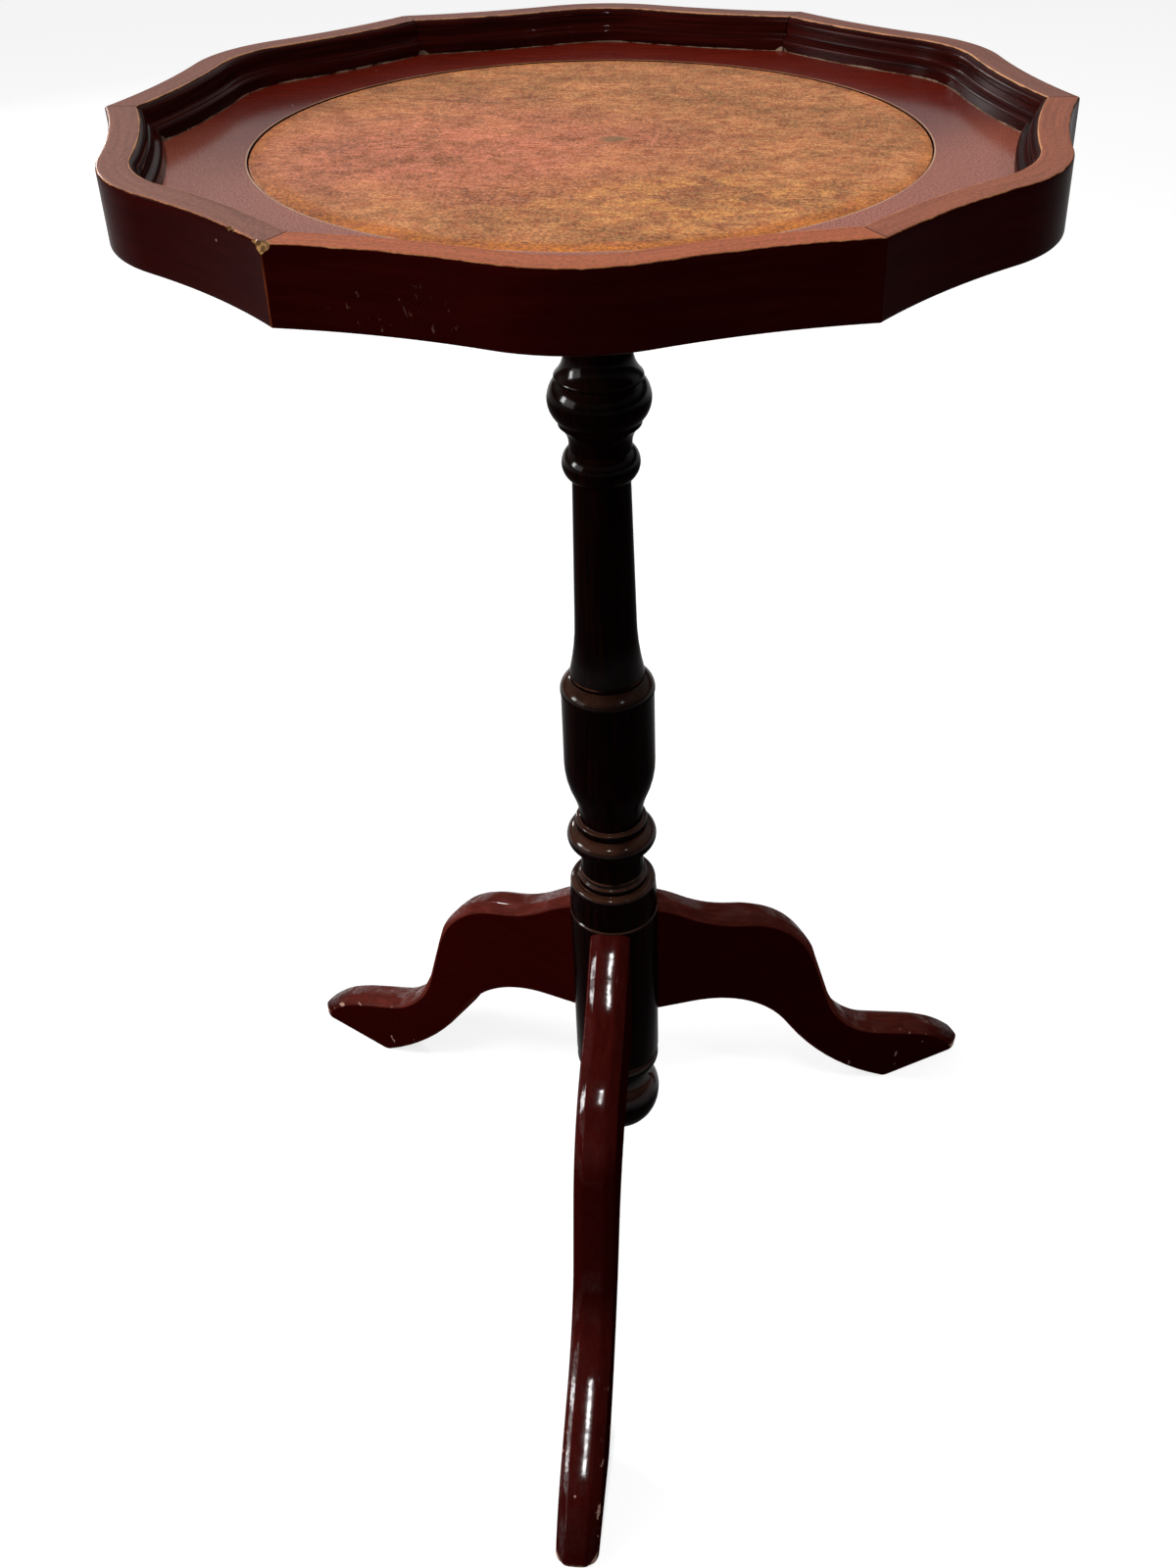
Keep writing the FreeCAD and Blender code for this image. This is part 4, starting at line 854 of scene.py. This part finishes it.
@dataclass
class Rim:
    """The six mitred, moulded rim segments."""

    top: float
    bottom: float
    foot: float
    line: PlanLine = PlanLine()
    turn: float = math.radians(4.3)
    arris: float = 0.7 * MM
    flat: float = 9.6 * MM
    inner_arris: float = 0.25 * MM
    quirk: float = 0.5 * MM
    ovolo: float = 2.0 * MM
    ovolo_drop: float = 1.1 * MM
    ledge: float = 0.5 * MM
    ledge_drop: float = 1.8 * MM
    hollow: float = 1.5 * MM
    round: float = 1.6 * MM
    bow_steps: int = 16
    sweep_steps: int = 30
    overrun: float = math.radians(3.5)
    joint_chamfer: float = 0.15 * MM
    mirror_weld: float = 0.01 * MM
    weld: float = 0.005 * MM
    mitre_reach: float = 1e-7
    chip_grain: float = 0.3 * MM
    chip_passes: int = 2
    chip_cuts: int = 2
    bare_depth: float = 0.15 * MM
    crease: float = math.radians(35.0)
    scuffed_run: float = RimPlace.FRONT.value - 46.0 * MM
    knocks: tuple[Knock, ...] = (
        Knock((-0.0689, -0.1430, 0.5206), 3.8 * MM),
        Knock((-0.0684, -0.1424, 0.5160), 1.1 * MM),
        Knock((-0.0714, -0.1400, 0.5208), 2.3 * MM),
        Knock((-0.0660, -0.1427, 0.5208), 1.8 * MM),
        Knock((-0.0797, -0.1300, 0.5209), 1.6 * MM),
        Knock((-0.0780, -0.1316, 0.5208), 1.3 * MM),
        Knock((-0.0012, -0.1559, 0.5205), 1.1 * MM),
        Knock((0.0006, -0.1561, 0.5205), 0.9 * MM),
    )

    def section(self) -> Section:
        """Walk the moulding's outline from the outer face over the flat to the rebate.

        Returns:
            The closed outline.
        """
        walk = Section(0.0, self.top - self.arris)
        walk.round(self.arris, self.top, Quarter.UPRIGHT)
        walk.to(self.flat - self.inner_arris, self.top, steps=6)
        walk.round(self.flat, self.top - self.inner_arris, Quarter.LEVEL, steps=3)
        inset, level = self.flat, self.top - self.quirk
        walk.to(inset, level)
        inset, level = inset + self.ovolo, level - self.ovolo
        walk.round(inset, level, Quarter.LEVEL, steps=6)
        level -= self.ovolo_drop
        walk.to(inset, level)
        inset += self.ledge
        walk.to(inset, level)
        level -= self.ledge_drop
        walk.to(inset, level)
        inset, level = inset + self.hollow, level - self.hollow
        walk.round(inset, level, Quarter.UPRIGHT, steps=5)
        inset, level = inset + self.round, level - self.round
        walk.round(inset, level, Quarter.LEVEL, steps=5)
        walk.to(inset, self.foot).to(self.flat, self.foot).to(self.flat, self.bottom)
        walk.to(self.arris, self.bottom)
        walk.round(0.0, self.bottom + self.arris, Quarter.LEVEL)
        walk.to(0.0, self.top - self.arris, steps=12)
        walk.points.pop()
        return walk

    def sweep_section(self) -> bmesh.types.BMesh:
        """Sweep the section along one segment in its own frame, with its crown on X.

        Returns:
            The closed segment, mitred at both ends.
        """
        mesh = bmesh.new()
        points = self.section().points
        verts = [mesh.verts.new((self.line.crown - inset, 0.0, level)) for inset, level in points]
        ring = verts + [mesh.edges.new((verts[k - 1], verts[k])) for k in range(len(verts))]
        spins = ((self.line.bow_centre, self.line.bow_angle, self.bow_steps),
                 (self.line.sweep_centre, -self.line.sweep_angle - self.overrun, self.sweep_steps))
        for centre, angle, steps in spins:
            spun = bmesh.ops.spin(mesh, geom=ring, cent=centre, axis=(0, 0, 1), angle=angle, steps=steps,
                                  use_merge=False)
            ring = spun["geom_last"]
        everything = mesh.verts[:] + mesh.edges[:] + mesh.faces[:]
        normal = Vector((-math.sin(self.line.mitre), math.cos(self.line.mitre), 0.0))
        bmesh.ops.bisect_plane(mesh, geom=everything, dist=self.mitre_reach, plane_co=(0, 0, 0),
                               plane_no=normal, clear_outer=True)
        ends = [edge for edge in mesh.edges if edge.is_boundary and all(v.co.y > MM for v in edge.verts)]
        cap = bmesh.ops.contextual_create(mesh, geom=ends)["faces"]
        rims = list({edge for face in cap for edge in face.edges})
        bmesh.ops.bevel(mesh, geom=rims, offset=self.joint_chamfer, offset_type="OFFSET", segments=1,
                        profile=0.5, affect="EDGES", material=-1)
        everything = mesh.verts[:] + mesh.edges[:] + mesh.faces[:]
        bmesh.ops.mirror(mesh, geom=everything, matrix=Matrix.Identity(4), axis="Y",
                         merge_dist=self.mirror_weld)
        bmesh.ops.remove_doubles(mesh, verts=mesh.verts[:], dist=self.weld)
        bmesh.ops.recalc_face_normals(mesh, faces=mesh.faces[:])
        return mesh

    def measure(self, mesh: bmesh.types.BMesh, segment: int) -> None:
        """Give each vertex its place along the segment, inset and distance from the mitre.

        Args:
            mesh: the segment in its own frame.
            segment: its number, which keeps its grain unlike its neighbours'.
        """
        names = ("run", "inset", "seam", "bare")
        run, inset, seam, _bare = (mesh.verts.layers.float.new(name) for name in names)
        normal = Vector((-math.sin(self.line.mitre), math.cos(self.line.mitre), 0.0))
        for vert in mesh.verts:
            vert[run] = vert.co.y + segment
            vert[inset] = self.line.inset(vert.co)
            vert[seam] = -normal.dot(Vector((vert.co.x, abs(vert.co.y), 0.0)))

    def knock_about(self, mesh: bmesh.types.BMesh) -> None:
        """Break the wood away where it has been knocked, and mark it bare.

        Args:
            mesh: the segment in the table's frame.
        """
        bare = mesh.verts.layers.float["bare"]
        for _pass in range(self.chip_passes):
            close = [edge for edge in mesh.edges
                     if edge.calc_length() > self.chip_grain
                     and any(knock.near(vert.co) for knock in self.knocks for vert in edge.verts)]
            bmesh.ops.subdivide_edges(mesh, edges=close, cuts=self.chip_cuts, use_grid_fill=True)
        for vert in mesh.verts:
            start = vert.co.copy()
            for knock in self.knocks:
                vert.co = knock.pushed(vert.co)
            vert[bare] = min((vert.co - start).length / self.bare_depth, 1.0)

    def build(self, place: RimPlace, finishes: list[bpy.types.Material]) -> None:
        """Build one segment where its CAD node is.

        Args:
            place: which segment.
            finishes: materials of the top and of the outer face.
        """
        mesh = self.sweep_section()
        self.measure(mesh, place.value)
        for face in mesh.faces:
            middle = face.calc_center_median()
            face.material_index = int(self.line.inset(middle) < self.arris * 0.5)
        angle = self.turn + self.line.mitre * (2 * place.value + 1)
        bmesh.ops.rotate(mesh, cent=(0, 0, 0), matrix=Matrix.Rotation(angle, 3, "Z"), verts=mesh.verts[:])
        self.knock_about(mesh)
        new_piece(f"moulded_{place.node}", mesh, finishes, self.crease, place.node)


@dataclass
class LeatherInset:
    """The leather disc laid in the panel's recess."""

    top: float
    bottom: float
    radius: float
    rings: int = 26
    spokes: int = 160
    rolled_edge: float = 0.5 * MM
    crease: float = math.radians(50.0)

    def build(self, finish: bpy.types.Material) -> None:
        """Build the disc with a rolled edge.

        Args:
            finish: the leather.
        """
        mesh = bmesh.new()
        flat_reach = self.radius - self.rolled_edge
        walk = Section(flat_reach, self.top)
        walk.round(self.radius, self.top - self.rolled_edge, Quarter.LEVEL)
        walk.to(self.radius, self.bottom).to(0.0, self.bottom)
        inner = [(flat_reach * ring / self.rings, self.top) for ring in range(self.rings)]
        verts = [mesh.verts.new((reach, 0.0, level)) for reach, level in inner + walk.points]
        for pair in zip(verts, verts[1:]):
            mesh.edges.new(pair)
        turn_round(mesh, self.spokes)
        piece = new_piece("leather_disc", mesh, [finish], self.crease, "leather_inset")


class Pen:
    """Draws a line in a mesh, in the upright plane through the table's axis."""

    def __init__(self, mesh: bmesh.types.BMesh, start: tuple[float, float, float]) -> None:
        """Set the pen down at a point."""
        self.mesh = mesh
        self.tip = mesh.verts.new(start)

    def run(self, there: Vector) -> None:
        """Draw a straight line to a point."""
        self.tip = bmesh.ops.extrude_vert_indiv(self.mesh, verts=[self.tip])["verts"][0]
        self.tip.co = there

    def bend(self, centre: Vector, angle: float, steps: int) -> None:
        """Draw an arc round a centre, to the left if its angle is positive."""
        spun = bmesh.ops.spin(self.mesh, geom=[self.tip], cent=centre, axis=(0, -1, 0), angle=angle,
                              steps=steps, use_merge=False)
        self.tip = next(item for item in spun["geom_last"] if isinstance(item, bmesh.types.BMVert))


@dataclass(frozen=True)
class Stroke:
    """One stroke of an outline: a straight run, or a bend of some degrees, to the left if positive."""

    run: float = 0.0
    radius: float = 0.0
    degrees: float = 0.0
    step_degrees: ClassVar[float] = 3.0

    @property
    def steps(self) -> int:
        """Straight pieces that the bend is drawn with."""
        return max(2, math.ceil(abs(self.degrees) / self.step_degrees))


@dataclass
class Leg:
    """A cabriole leg sawn from board: crowned on its upper side, rolled edges and a rounded toe."""

    node: str
    bearing: float
    half: float
    top: float = 172.2 * MM
    hub: float = 19.15 * MM
    root_slope: float = -30.0
    reach: float = 194.0 * MM
    strokes: tuple[Stroke, ...] = (
        Stroke(radius=100.0 * MM, degrees=-10.0),
        Stroke(radius=95.0 * MM, degrees=21.0),
        Stroke(radius=62.0 * MM, degrees=-54.0),
        Stroke(run=30.605 * MM),
        Stroke(radius=63.0 * MM, degrees=46.5),
        Stroke(run=28.810 * MM),
        Stroke(radius=67.0 * MM, degrees=-27.0),
        Stroke(radius=2.8 * MM, degrees=-126.5),
        Stroke(run=38.9 * MM),
        Stroke(radius=8.0 * MM, degrees=-35.3),
        Stroke(radius=200.0 * MM, degrees=-24.7),
        Stroke(run=4.424 * MM),
        Stroke(radius=80.0 * MM, degrees=48.0),
        Stroke(run=16.442 * MM),
    )
    slices: int = 28
    crown: float = 60.0 * MM
    rolled: float = 4.2 * MM
    roll_slope: float = 0.52
    edge: float = 1.6 * MM
    rise: float = 1.9 * MM
    toe_length: float = 26.0 * MM
    toe_growth: float = 2.8 * MM
    toe_round: float = 3.6 * MM
    upper_lean: float = 0.4
    hub_touch: float = 0.01 * MM
    crease: float = math.radians(40.0)

    @staticmethod
    def ahead(heading: float) -> Vector:
        """Unit step in a heading, in degrees over the level."""
        return Vector((math.cos(math.radians(heading)), 0.0, math.sin(math.radians(heading))))

    def draw(self, mesh: bmesh.types.BMesh) -> None:
        """Draw the leg's side as a closed line, with each point's outward heading.

        Args:
            mesh: an empty mesh.
        """
        outward = mesh.verts.layers.float_vector.new("outward")
        pen = Pen(mesh, (self.hub, 0.0, self.top))
        first = pen.tip
        heading = self.root_slope
        first[outward] = self.ahead(heading + 90.0)
        for stroke in self.strokes:
            if stroke.run:
                pen.run(pen.tip.co + self.ahead(heading) * stroke.run)
                pen.tip[outward] = self.ahead(heading + 90.0)
                continue
            before = set(mesh.verts)
            side = math.copysign(1.0, stroke.degrees)
            centre = pen.tip.co + self.ahead(heading + 90.0 * side) * stroke.radius
            pen.bend(centre, math.radians(stroke.degrees), stroke.steps)
            for vert in set(mesh.verts) - before:
                vert[outward] = (centre - vert.co).normalized() * side
            heading += stroke.degrees
        mesh.edges.new((pen.tip, first))

    def drop(self, across: float, upper: float) -> float:
        """How far the surface lies inside the sawn outline.

        Args:
            across: distance from the leg's middle plane.
            upper: 1 on the upper side, 0 on the lower.

        Returns:
            The distance, in metres.
        """
        rolled = max(across - (self.half - self.rolled), 0.0) * self.roll_slope
        corner = max(across - (self.half - self.edge), 0.0)
        rounded = self.edge - math.sqrt(max(self.edge ** 2 - corner ** 2, 0.0))
        return upper * (across ** 2 / (2.0 * self.crown) + rolled - self.rise) + rounded

    def shape(self, mesh: bmesh.types.BMesh) -> None:
        """Crown the leg, roll its edges, cope it to the hub and round its toe.

        Args:
            mesh: the leg as an evenly sliced slab.
        """
        outward = mesh.verts.layers.float_vector["outward"]
        for vert in mesh.verts:
            vert.co.y = self.half * math.sin(0.5 * math.pi * vert.co.y / self.half)
            across = abs(vert.co.y)
            at_hub = vert.co.x < self.hub + self.hub_touch
            out = vert[outward].copy()
            vert.co -= out * self.drop(across, min(max(out.z / self.upper_lean, 0.0), 1.0))
            if at_hub:
                short = math.sqrt(self.hub ** 2 - across ** 2) - vert.co.x
                vert.co += Vector((short, 0.0, -short * out.x / out.z))
            share = max((vert.co.x - self.reach) / self.toe_length + 1.0, 0.0)
            vert.co.x += share ** 2 * (self.toe_growth - self.toe_round * (across / self.half) ** 4)

    def build(self, finish: bpy.types.Material) -> None:
        """Build the leg where its CAD node is.

        Args:
            finish: its lacquer.
        """
        mesh = bmesh.new()
        self.draw(mesh)
        bmesh.ops.translate(mesh, vec=(0.0, -self.half, 0.0), verts=mesh.verts[:])
        bmesh.ops.spin(mesh, geom=mesh.verts[:] + mesh.edges[:], axis=(0, 0, 1), angle=0.0,
                       dvec=(0.0, 2.0 * self.half / self.slices, 0.0), steps=self.slices,
                       use_merge=False)
        self.shape(mesh)
        for side in (-1.0, 1.0):
            ends = [edge for edge in mesh.edges if edge.is_boundary and edge.verts[0].co.y * side > 0.0]
            bmesh.ops.contextual_create(mesh, geom=ends)
        bmesh.ops.recalc_face_normals(mesh, faces=mesh.faces[:])
        turn = Matrix.Rotation(math.radians(self.bearing), 3, "Z")
        bmesh.ops.rotate(mesh, cent=(0, 0, 0), matrix=turn, verts=mesh.verts[:])
        new_piece(f"sawn_{self.node}", mesh, [finish], self.crease, self.node)


@dataclass(frozen=True)
class Cut:
    """One cut of a turning, in millimetres: to a radius and a height, swelling, to a softened corner."""

    radius: float
    level: float
    swell: float = 0.0
    soft: float = 0.0


@dataclass
class Column:
    """The turned column, from the ball drop up to its tenon, with the corners listed as soft a little
    rounded off.
    """

    cleat: float
    tenon_top: float
    drop: float = 39.115
    tenon: float = 11.0
    spokes: int = 96
    least_steps: int = 4
    step_degrees: float = 9.0
    soft_steps: int = 3
    crease: float = math.radians(45.0)
    lower: tuple[Cut, ...] = (
        Cut(19.2, 58.315, 5.62), Cut(14.5, 70.9, 1.53), Cut(14.5, 78.9), Cut(14.5, 88.3, 4.5),
        Cut(19.1, 88.3, soft=1.0), Cut(19.1, 174.7, soft=0.3), Cut(18.4, 175.4), Cut(19.1, 176.1, soft=0.3),
        Cut(19.1, 182.5), Cut(18.5, 190.6), Cut(16.6, 193.2, 0.75), Cut(14.9, 192.6, soft=0.4),
        Cut(14.9, 195.7, soft=0.7), Cut(13.9, 196.0, soft=0.4), Cut(14.2, 211.7, -0.6),
        Cut(14.2, 221.7, 4.9), Cut(14.2, 222.7), Cut(15.2, 222.9, soft=0.4), Cut(15.2, 226.2, soft=0.9),
        Cut(13.2, 226.2, soft=0.4), Cut(15.6, 239.0, -0.55), Cut(19.0, 256.2, 0.9), Cut(18.85, 290.0),
        Cut(17.6, 295.6, 0.85), Cut(15.0, 297.8, 0.15), Cut(15.0, 300.2, soft=0.4), Cut(12.2, 325.2, -0.7))
    upper: tuple[Cut, ...] = (
        Cut(10.95, -94.4), Cut(11.7, -94.2, soft=0.2), Cut(11.7, -82.2, 2.9), Cut(11.7, -80.0),
        Cut(15.4, -72.4, -0.9), Cut(15.4, -70.5, soft=0.4), Cut(15.8, -70.4), Cut(15.8, -55.0, 3.2),
        Cut(16.3, -54.8, soft=0.3), Cut(16.3, -53.8, soft=0.4), Cut(12.4, -43.4, -1.2), Cut(13.2, -12.5),
        Cut(19.1, -7.0, soft=0.5), Cut(19.1, -0.05), Cut(11.0, -0.05))

    def carve(self, pen: Pen, cut: Cut, base: float) -> None:
        """Carry the profile on by one cut.

        Args:
            pen: what draws the profile.
            cut: the cut, in millimetres.
            base: height that the cut's level counts from, in metres.
        """
        there = Vector((cut.radius * MM, 0.0, base + cut.level * MM))
        if not cut.swell:
            pen.run(there)
            return
        chord = there - pen.tip.co
        half, swell = chord.length / 2.0, cut.swell * MM
        outward = Vector((chord.z, 0.0, -chord.x)).normalized()
        radius = (half ** 2 + swell ** 2) / (2.0 * swell)
        centre = pen.tip.co + chord / 2.0 + outward * (swell - radius)
        angle = 4.0 * math.atan(swell / half)
        steps = math.ceil(abs(math.degrees(angle)) / self.step_degrees)
        pen.bend(centre, angle, max(self.least_steps, steps))

    def build(self, finish: bpy.types.Material) -> None:
        """Turn the column.

        Args:
            finish: its lacquer.
        """
        mesh = bmesh.new()
        pen = Pen(mesh, (0.0, 0.0, self.drop * MM))
        corners = []
        for base, cuts in ((0.0, self.lower), (self.cleat, self.upper)):
            for cut in cuts:
                self.carve(pen, cut, base)
                corners.append((pen.tip, cut.soft))
        for reach in (self.tenon * MM, 0.0):
            pen.run(Vector((reach, 0.0, self.tenon_top)))
        for corner, soft in corners:
            if soft:
                bmesh.ops.bevel(mesh, geom=[corner], offset=soft * MM, offset_type="OFFSET",
                                segments=self.soft_steps, profile=0.5, affect="VERTICES",
                                material=-1)
        turn_round(mesh, self.spokes)
        new_piece("turned_column", mesh, [finish], self.crease, "column")


def turn_round(mesh: bmesh.types.BMesh, spokes: int) -> None:
    """Spin a profile once round the upright axis, and close it.

    Args:
        mesh: the profile, in the plane through the axis.
        spokes: steps of the spin.
    """
    bmesh.ops.spin(mesh, geom=mesh.verts[:] + mesh.edges[:], cent=(0, 0, 0), axis=(0, 0, 1),
                   angle=2.0 * math.pi, steps=spokes, use_merge=True)
    bmesh.ops.remove_doubles(mesh, verts=mesh.verts[:], dist=TURNED_WELD)
    bmesh.ops.recalc_face_normals(mesh, faces=mesh.faces[:])


def new_piece(name: str, mesh: bmesh.types.BMesh, finishes: list[bpy.types.Material], crease: float,
              node: str) -> bpy.types.Object:
    """Turn a bmesh into a smooth piece that rides on the table in place of a CAD node.

    Args:
        name: the piece's name.
        mesh: its shape, in the table's frame.
        finishes: its materials, by slot.
        crease: angle from which an edge stays sharp, in radians.
        node: the CAD node that it stands for.

    Returns:
        The piece.
    """
    for face in mesh.faces:
        face.smooth = True
    data = bpy.data.meshes.new(name)
    mesh.to_mesh(data)
    mesh.free()
    data.set_sharp_from_angle(angle=crease)
    for finish in finishes:
        data.materials.append(finish)
    piece = bpy.data.objects.new(name, data)
    bpy.context.scene.collection.objects.link(piece)
    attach(piece, BODY)
    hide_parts(node)
    LOG.info("%s: %d faces", name, len(data.polygons))
    return piece


def dress(node: bpy.types.Object, finish: bpy.types.Material) -> None:
    """Give a CAD node its finish.

    Args:
        node: the CAD node's object.
        finish: its material.
    """
    node.data.materials.clear()
    node.data.materials.append(finish)
    LOG.info("%s: %s", node.name, finish.name)


@dataclass(frozen=True)
class Lamp:
    """A rectangular lamp that faces the table."""

    name: str
    bearing: float
    rise: float
    distance: float
    width: float
    height: float
    radiance: float
    aim: tuple[float, float, float] = (0.0, 0.0, 0.3)

    def hang(self) -> None:
        """Add the lamp to the scene."""
        data = bpy.data.lights.new(self.name, "AREA")
        data.shape = "RECTANGLE"
        data.size = self.width
        data.size_y = self.height
        data.energy = self.radiance * math.pi * self.width * self.height
        lamp = bpy.data.objects.new(self.name, data)
        level, bearing = math.radians(self.rise), math.radians(self.bearing)
        heading = Vector((math.sin(bearing) * math.cos(level), -math.cos(bearing) * math.cos(level),
                          math.sin(level)))
        lamp.location = Vector(self.aim) + heading * self.distance
        lamp.rotation_euler = heading.to_track_quat("Z", "Y").to_euler()
        bpy.context.scene.collection.objects.link(lamp)


@dataclass
class Studio:
    """Floor, soft light and camera."""

    floor_half: float = 12.0
    horizon_grey: float = 0.08
    front_grey: float = 0.18
    back_grey: float = 0.82
    sky_from: tuple[float, float] = (8.0, 18.0)  # degrees over the level
    back_from: tuple[float, float] = (-0.2, 0.8)
    lamps: tuple[Lamp, ...] = (
        Lamp("high_front_lamp", bearing=-5.0, rise=61.0, distance=2.2, width=0.10, height=0.40,
             radiance=180.0),
        Lamp("right_window", bearing=47.0, rise=44.0, distance=2.2, width=0.05, height=0.05,
             radiance=800.0),
        Lamp("left_sky", bearing=-66.0, rise=15.0, distance=2.0, width=1.1, height=0.8, radiance=5.5),
        Lamp("left_window", bearing=-81.0, rise=17.5, distance=2.0, width=0.34, height=0.56,
             radiance=60.0),
        Lamp("back_left_window", bearing=-140.0, rise=16.0, distance=2.2, width=0.20, height=0.16,
             radiance=150.0),
    )
    eye: tuple[float, float, float] = (0.060092, -0.518096, 0.648875)
    eye_turn: tuple[float, float, float] = (56.6728, 0.6171, 4.5616)
    lens: float = 36.150
    sensor: float = 36.0
    shift: tuple[float, float] = (-0.036101, -0.081330)
    near_clip: float = 0.01

    def lay_floor(self) -> None:
        """Lay the pale floor under the feet."""
        mesh = bmesh.new()
        bmesh.ops.create_grid(mesh, x_segments=4, y_segments=4, size=self.floor_half)
        data = bpy.data.meshes.new("floor")
        mesh.to_mesh(data)
        mesh.free()
        data.materials.append(FloorFinish("pale_floor").material())
        floor = bpy.data.objects.new("floor", data)
        bpy.context.scene.collection.objects.link(floor)

    def light(self) -> None:
        """Set the sky and hang the lamps."""
        world = bpy.data.worlds.new("studio")
        world.use_nodes = True
        graph = Graph(world.node_tree)
        _x, back, up = graph.split(graph.add("ShaderNodeTexCoord", out="Generated"))
        high = graph.rise(up, *(math.sin(math.radians(angle)) for angle in self.sky_from))
        behind = graph.rise(back, *self.back_from)
        level = self.front_grey + behind * (self.back_grey - self.front_grey)
        sky = graph.add("ShaderNodeBackground", None, {"Strength": self.horizon_grey + high * level})
        graph.add("ShaderNodeOutputWorld", None, {"Surface": sky})
        bpy.context.scene.world = world
        for lamp in self.lamps:
            lamp.hang()

    def aim_camera(self) -> None:
        """Put the camera where the photograph was taken from."""
        data = bpy.data.cameras.new("camera")
        data.lens = self.lens
        data.sensor_width = self.sensor
        data.shift_x, data.shift_y = self.shift
        data.clip_start = self.near_clip
        camera = bpy.data.objects.new("camera", data)
        camera.location = self.eye
        camera.rotation_euler = [math.radians(angle) for angle in self.eye_turn]
        bpy.context.scene.collection.objects.link(camera)
        bpy.context.scene.camera = camera


def main() -> None:
    """Build the table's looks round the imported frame, then the studio."""
    logging.basicConfig(level=logging.INFO)
    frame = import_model()
    nodes = frame["nodes"]
    bpy.context.scene.view_settings.view_transform = "Standard"

    rim_low, rim_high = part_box("rim_front")
    panel_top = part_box("top_panel")[1].z
    leather_low, leather_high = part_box("leather_inset")
    rim = Rim(top=rim_high.z, bottom=rim_low.z, foot=panel_top)
    rim_finishes = [RimTopFinish("rim_top_lacquer", rim.top, rim.flat, rim.foot).material(),
                    RimFaceFinish("rim_face_lacquer", rim.top, rim.bottom, rim.scuffed_run).material()]
    for place in RimPlace:
        rim.build(place, rim_finishes)

    leather_radius = leather_high.x
    leather = LeatherInset(leather_high.z, leather_low.z, leather_radius)
    leather.build(LeatherFinish("mottled_leather", leather_radius).material())

    panel = PanelFinish("panel_lacquer", leather_radius + RECESS_CLEARANCE, panel_top)
    dress(nodes["top_panel"], panel.material())
    column = Column(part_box("top_cleat")[0].z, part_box("column")[1].z)
    column.build(TurnedFinish("column_lacquer").material())
    leg_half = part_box("leg_front")[1].x
    # colours of the legs' upper sides: dust with a painted sheen
    dusty_painted_sheen, ruddy = (0.072, 0.0130, 0.0090), (0.034, 0.0032, 0.0024)
    plain = {"wear_and_painted_sheen": dusty_painted_sheen}
    streaked = {"wear_and_painted_sheen": ruddy, "dull_from": 2.5 * MM, "dark_run": (88.0 * MM, 24.0 * MM)}
    legs = (("leg_right", 30.0, 0.28, plain), ("leg_left", 150.0, 0.60, plain),
            ("leg_front", 270.0, 0.90, streaked))
    for name, bearing, polish, wear in legs:
        finish = LegFinish(f"{name}_lacquer", -math.radians(bearing), leg_half, polish, **wear)
        Leg(name, bearing, leg_half).build(finish.material())
    beech = InnerWoodFinish("hidden_beech").material()
    for name in ("rim_splines", "leg_dowels"):
        dress(nodes[name], beech)
    stained = InnerWoodFinish("stained_beech", pale=(0.110, 0.040, 0.020), dark=(0.060, 0.020, 0.010))
    dress(nodes["top_cleat"], stained.material())
    brass = BrassFinish("dull_brass").material()
    for name in ("cleat_screws", "centre_screw"):
        dress(nodes[name], brass)

    studio = Studio()
    studio.lay_floor()
    studio.light()
    studio.aim_camera()


if __name__ == "__main__":
    main()
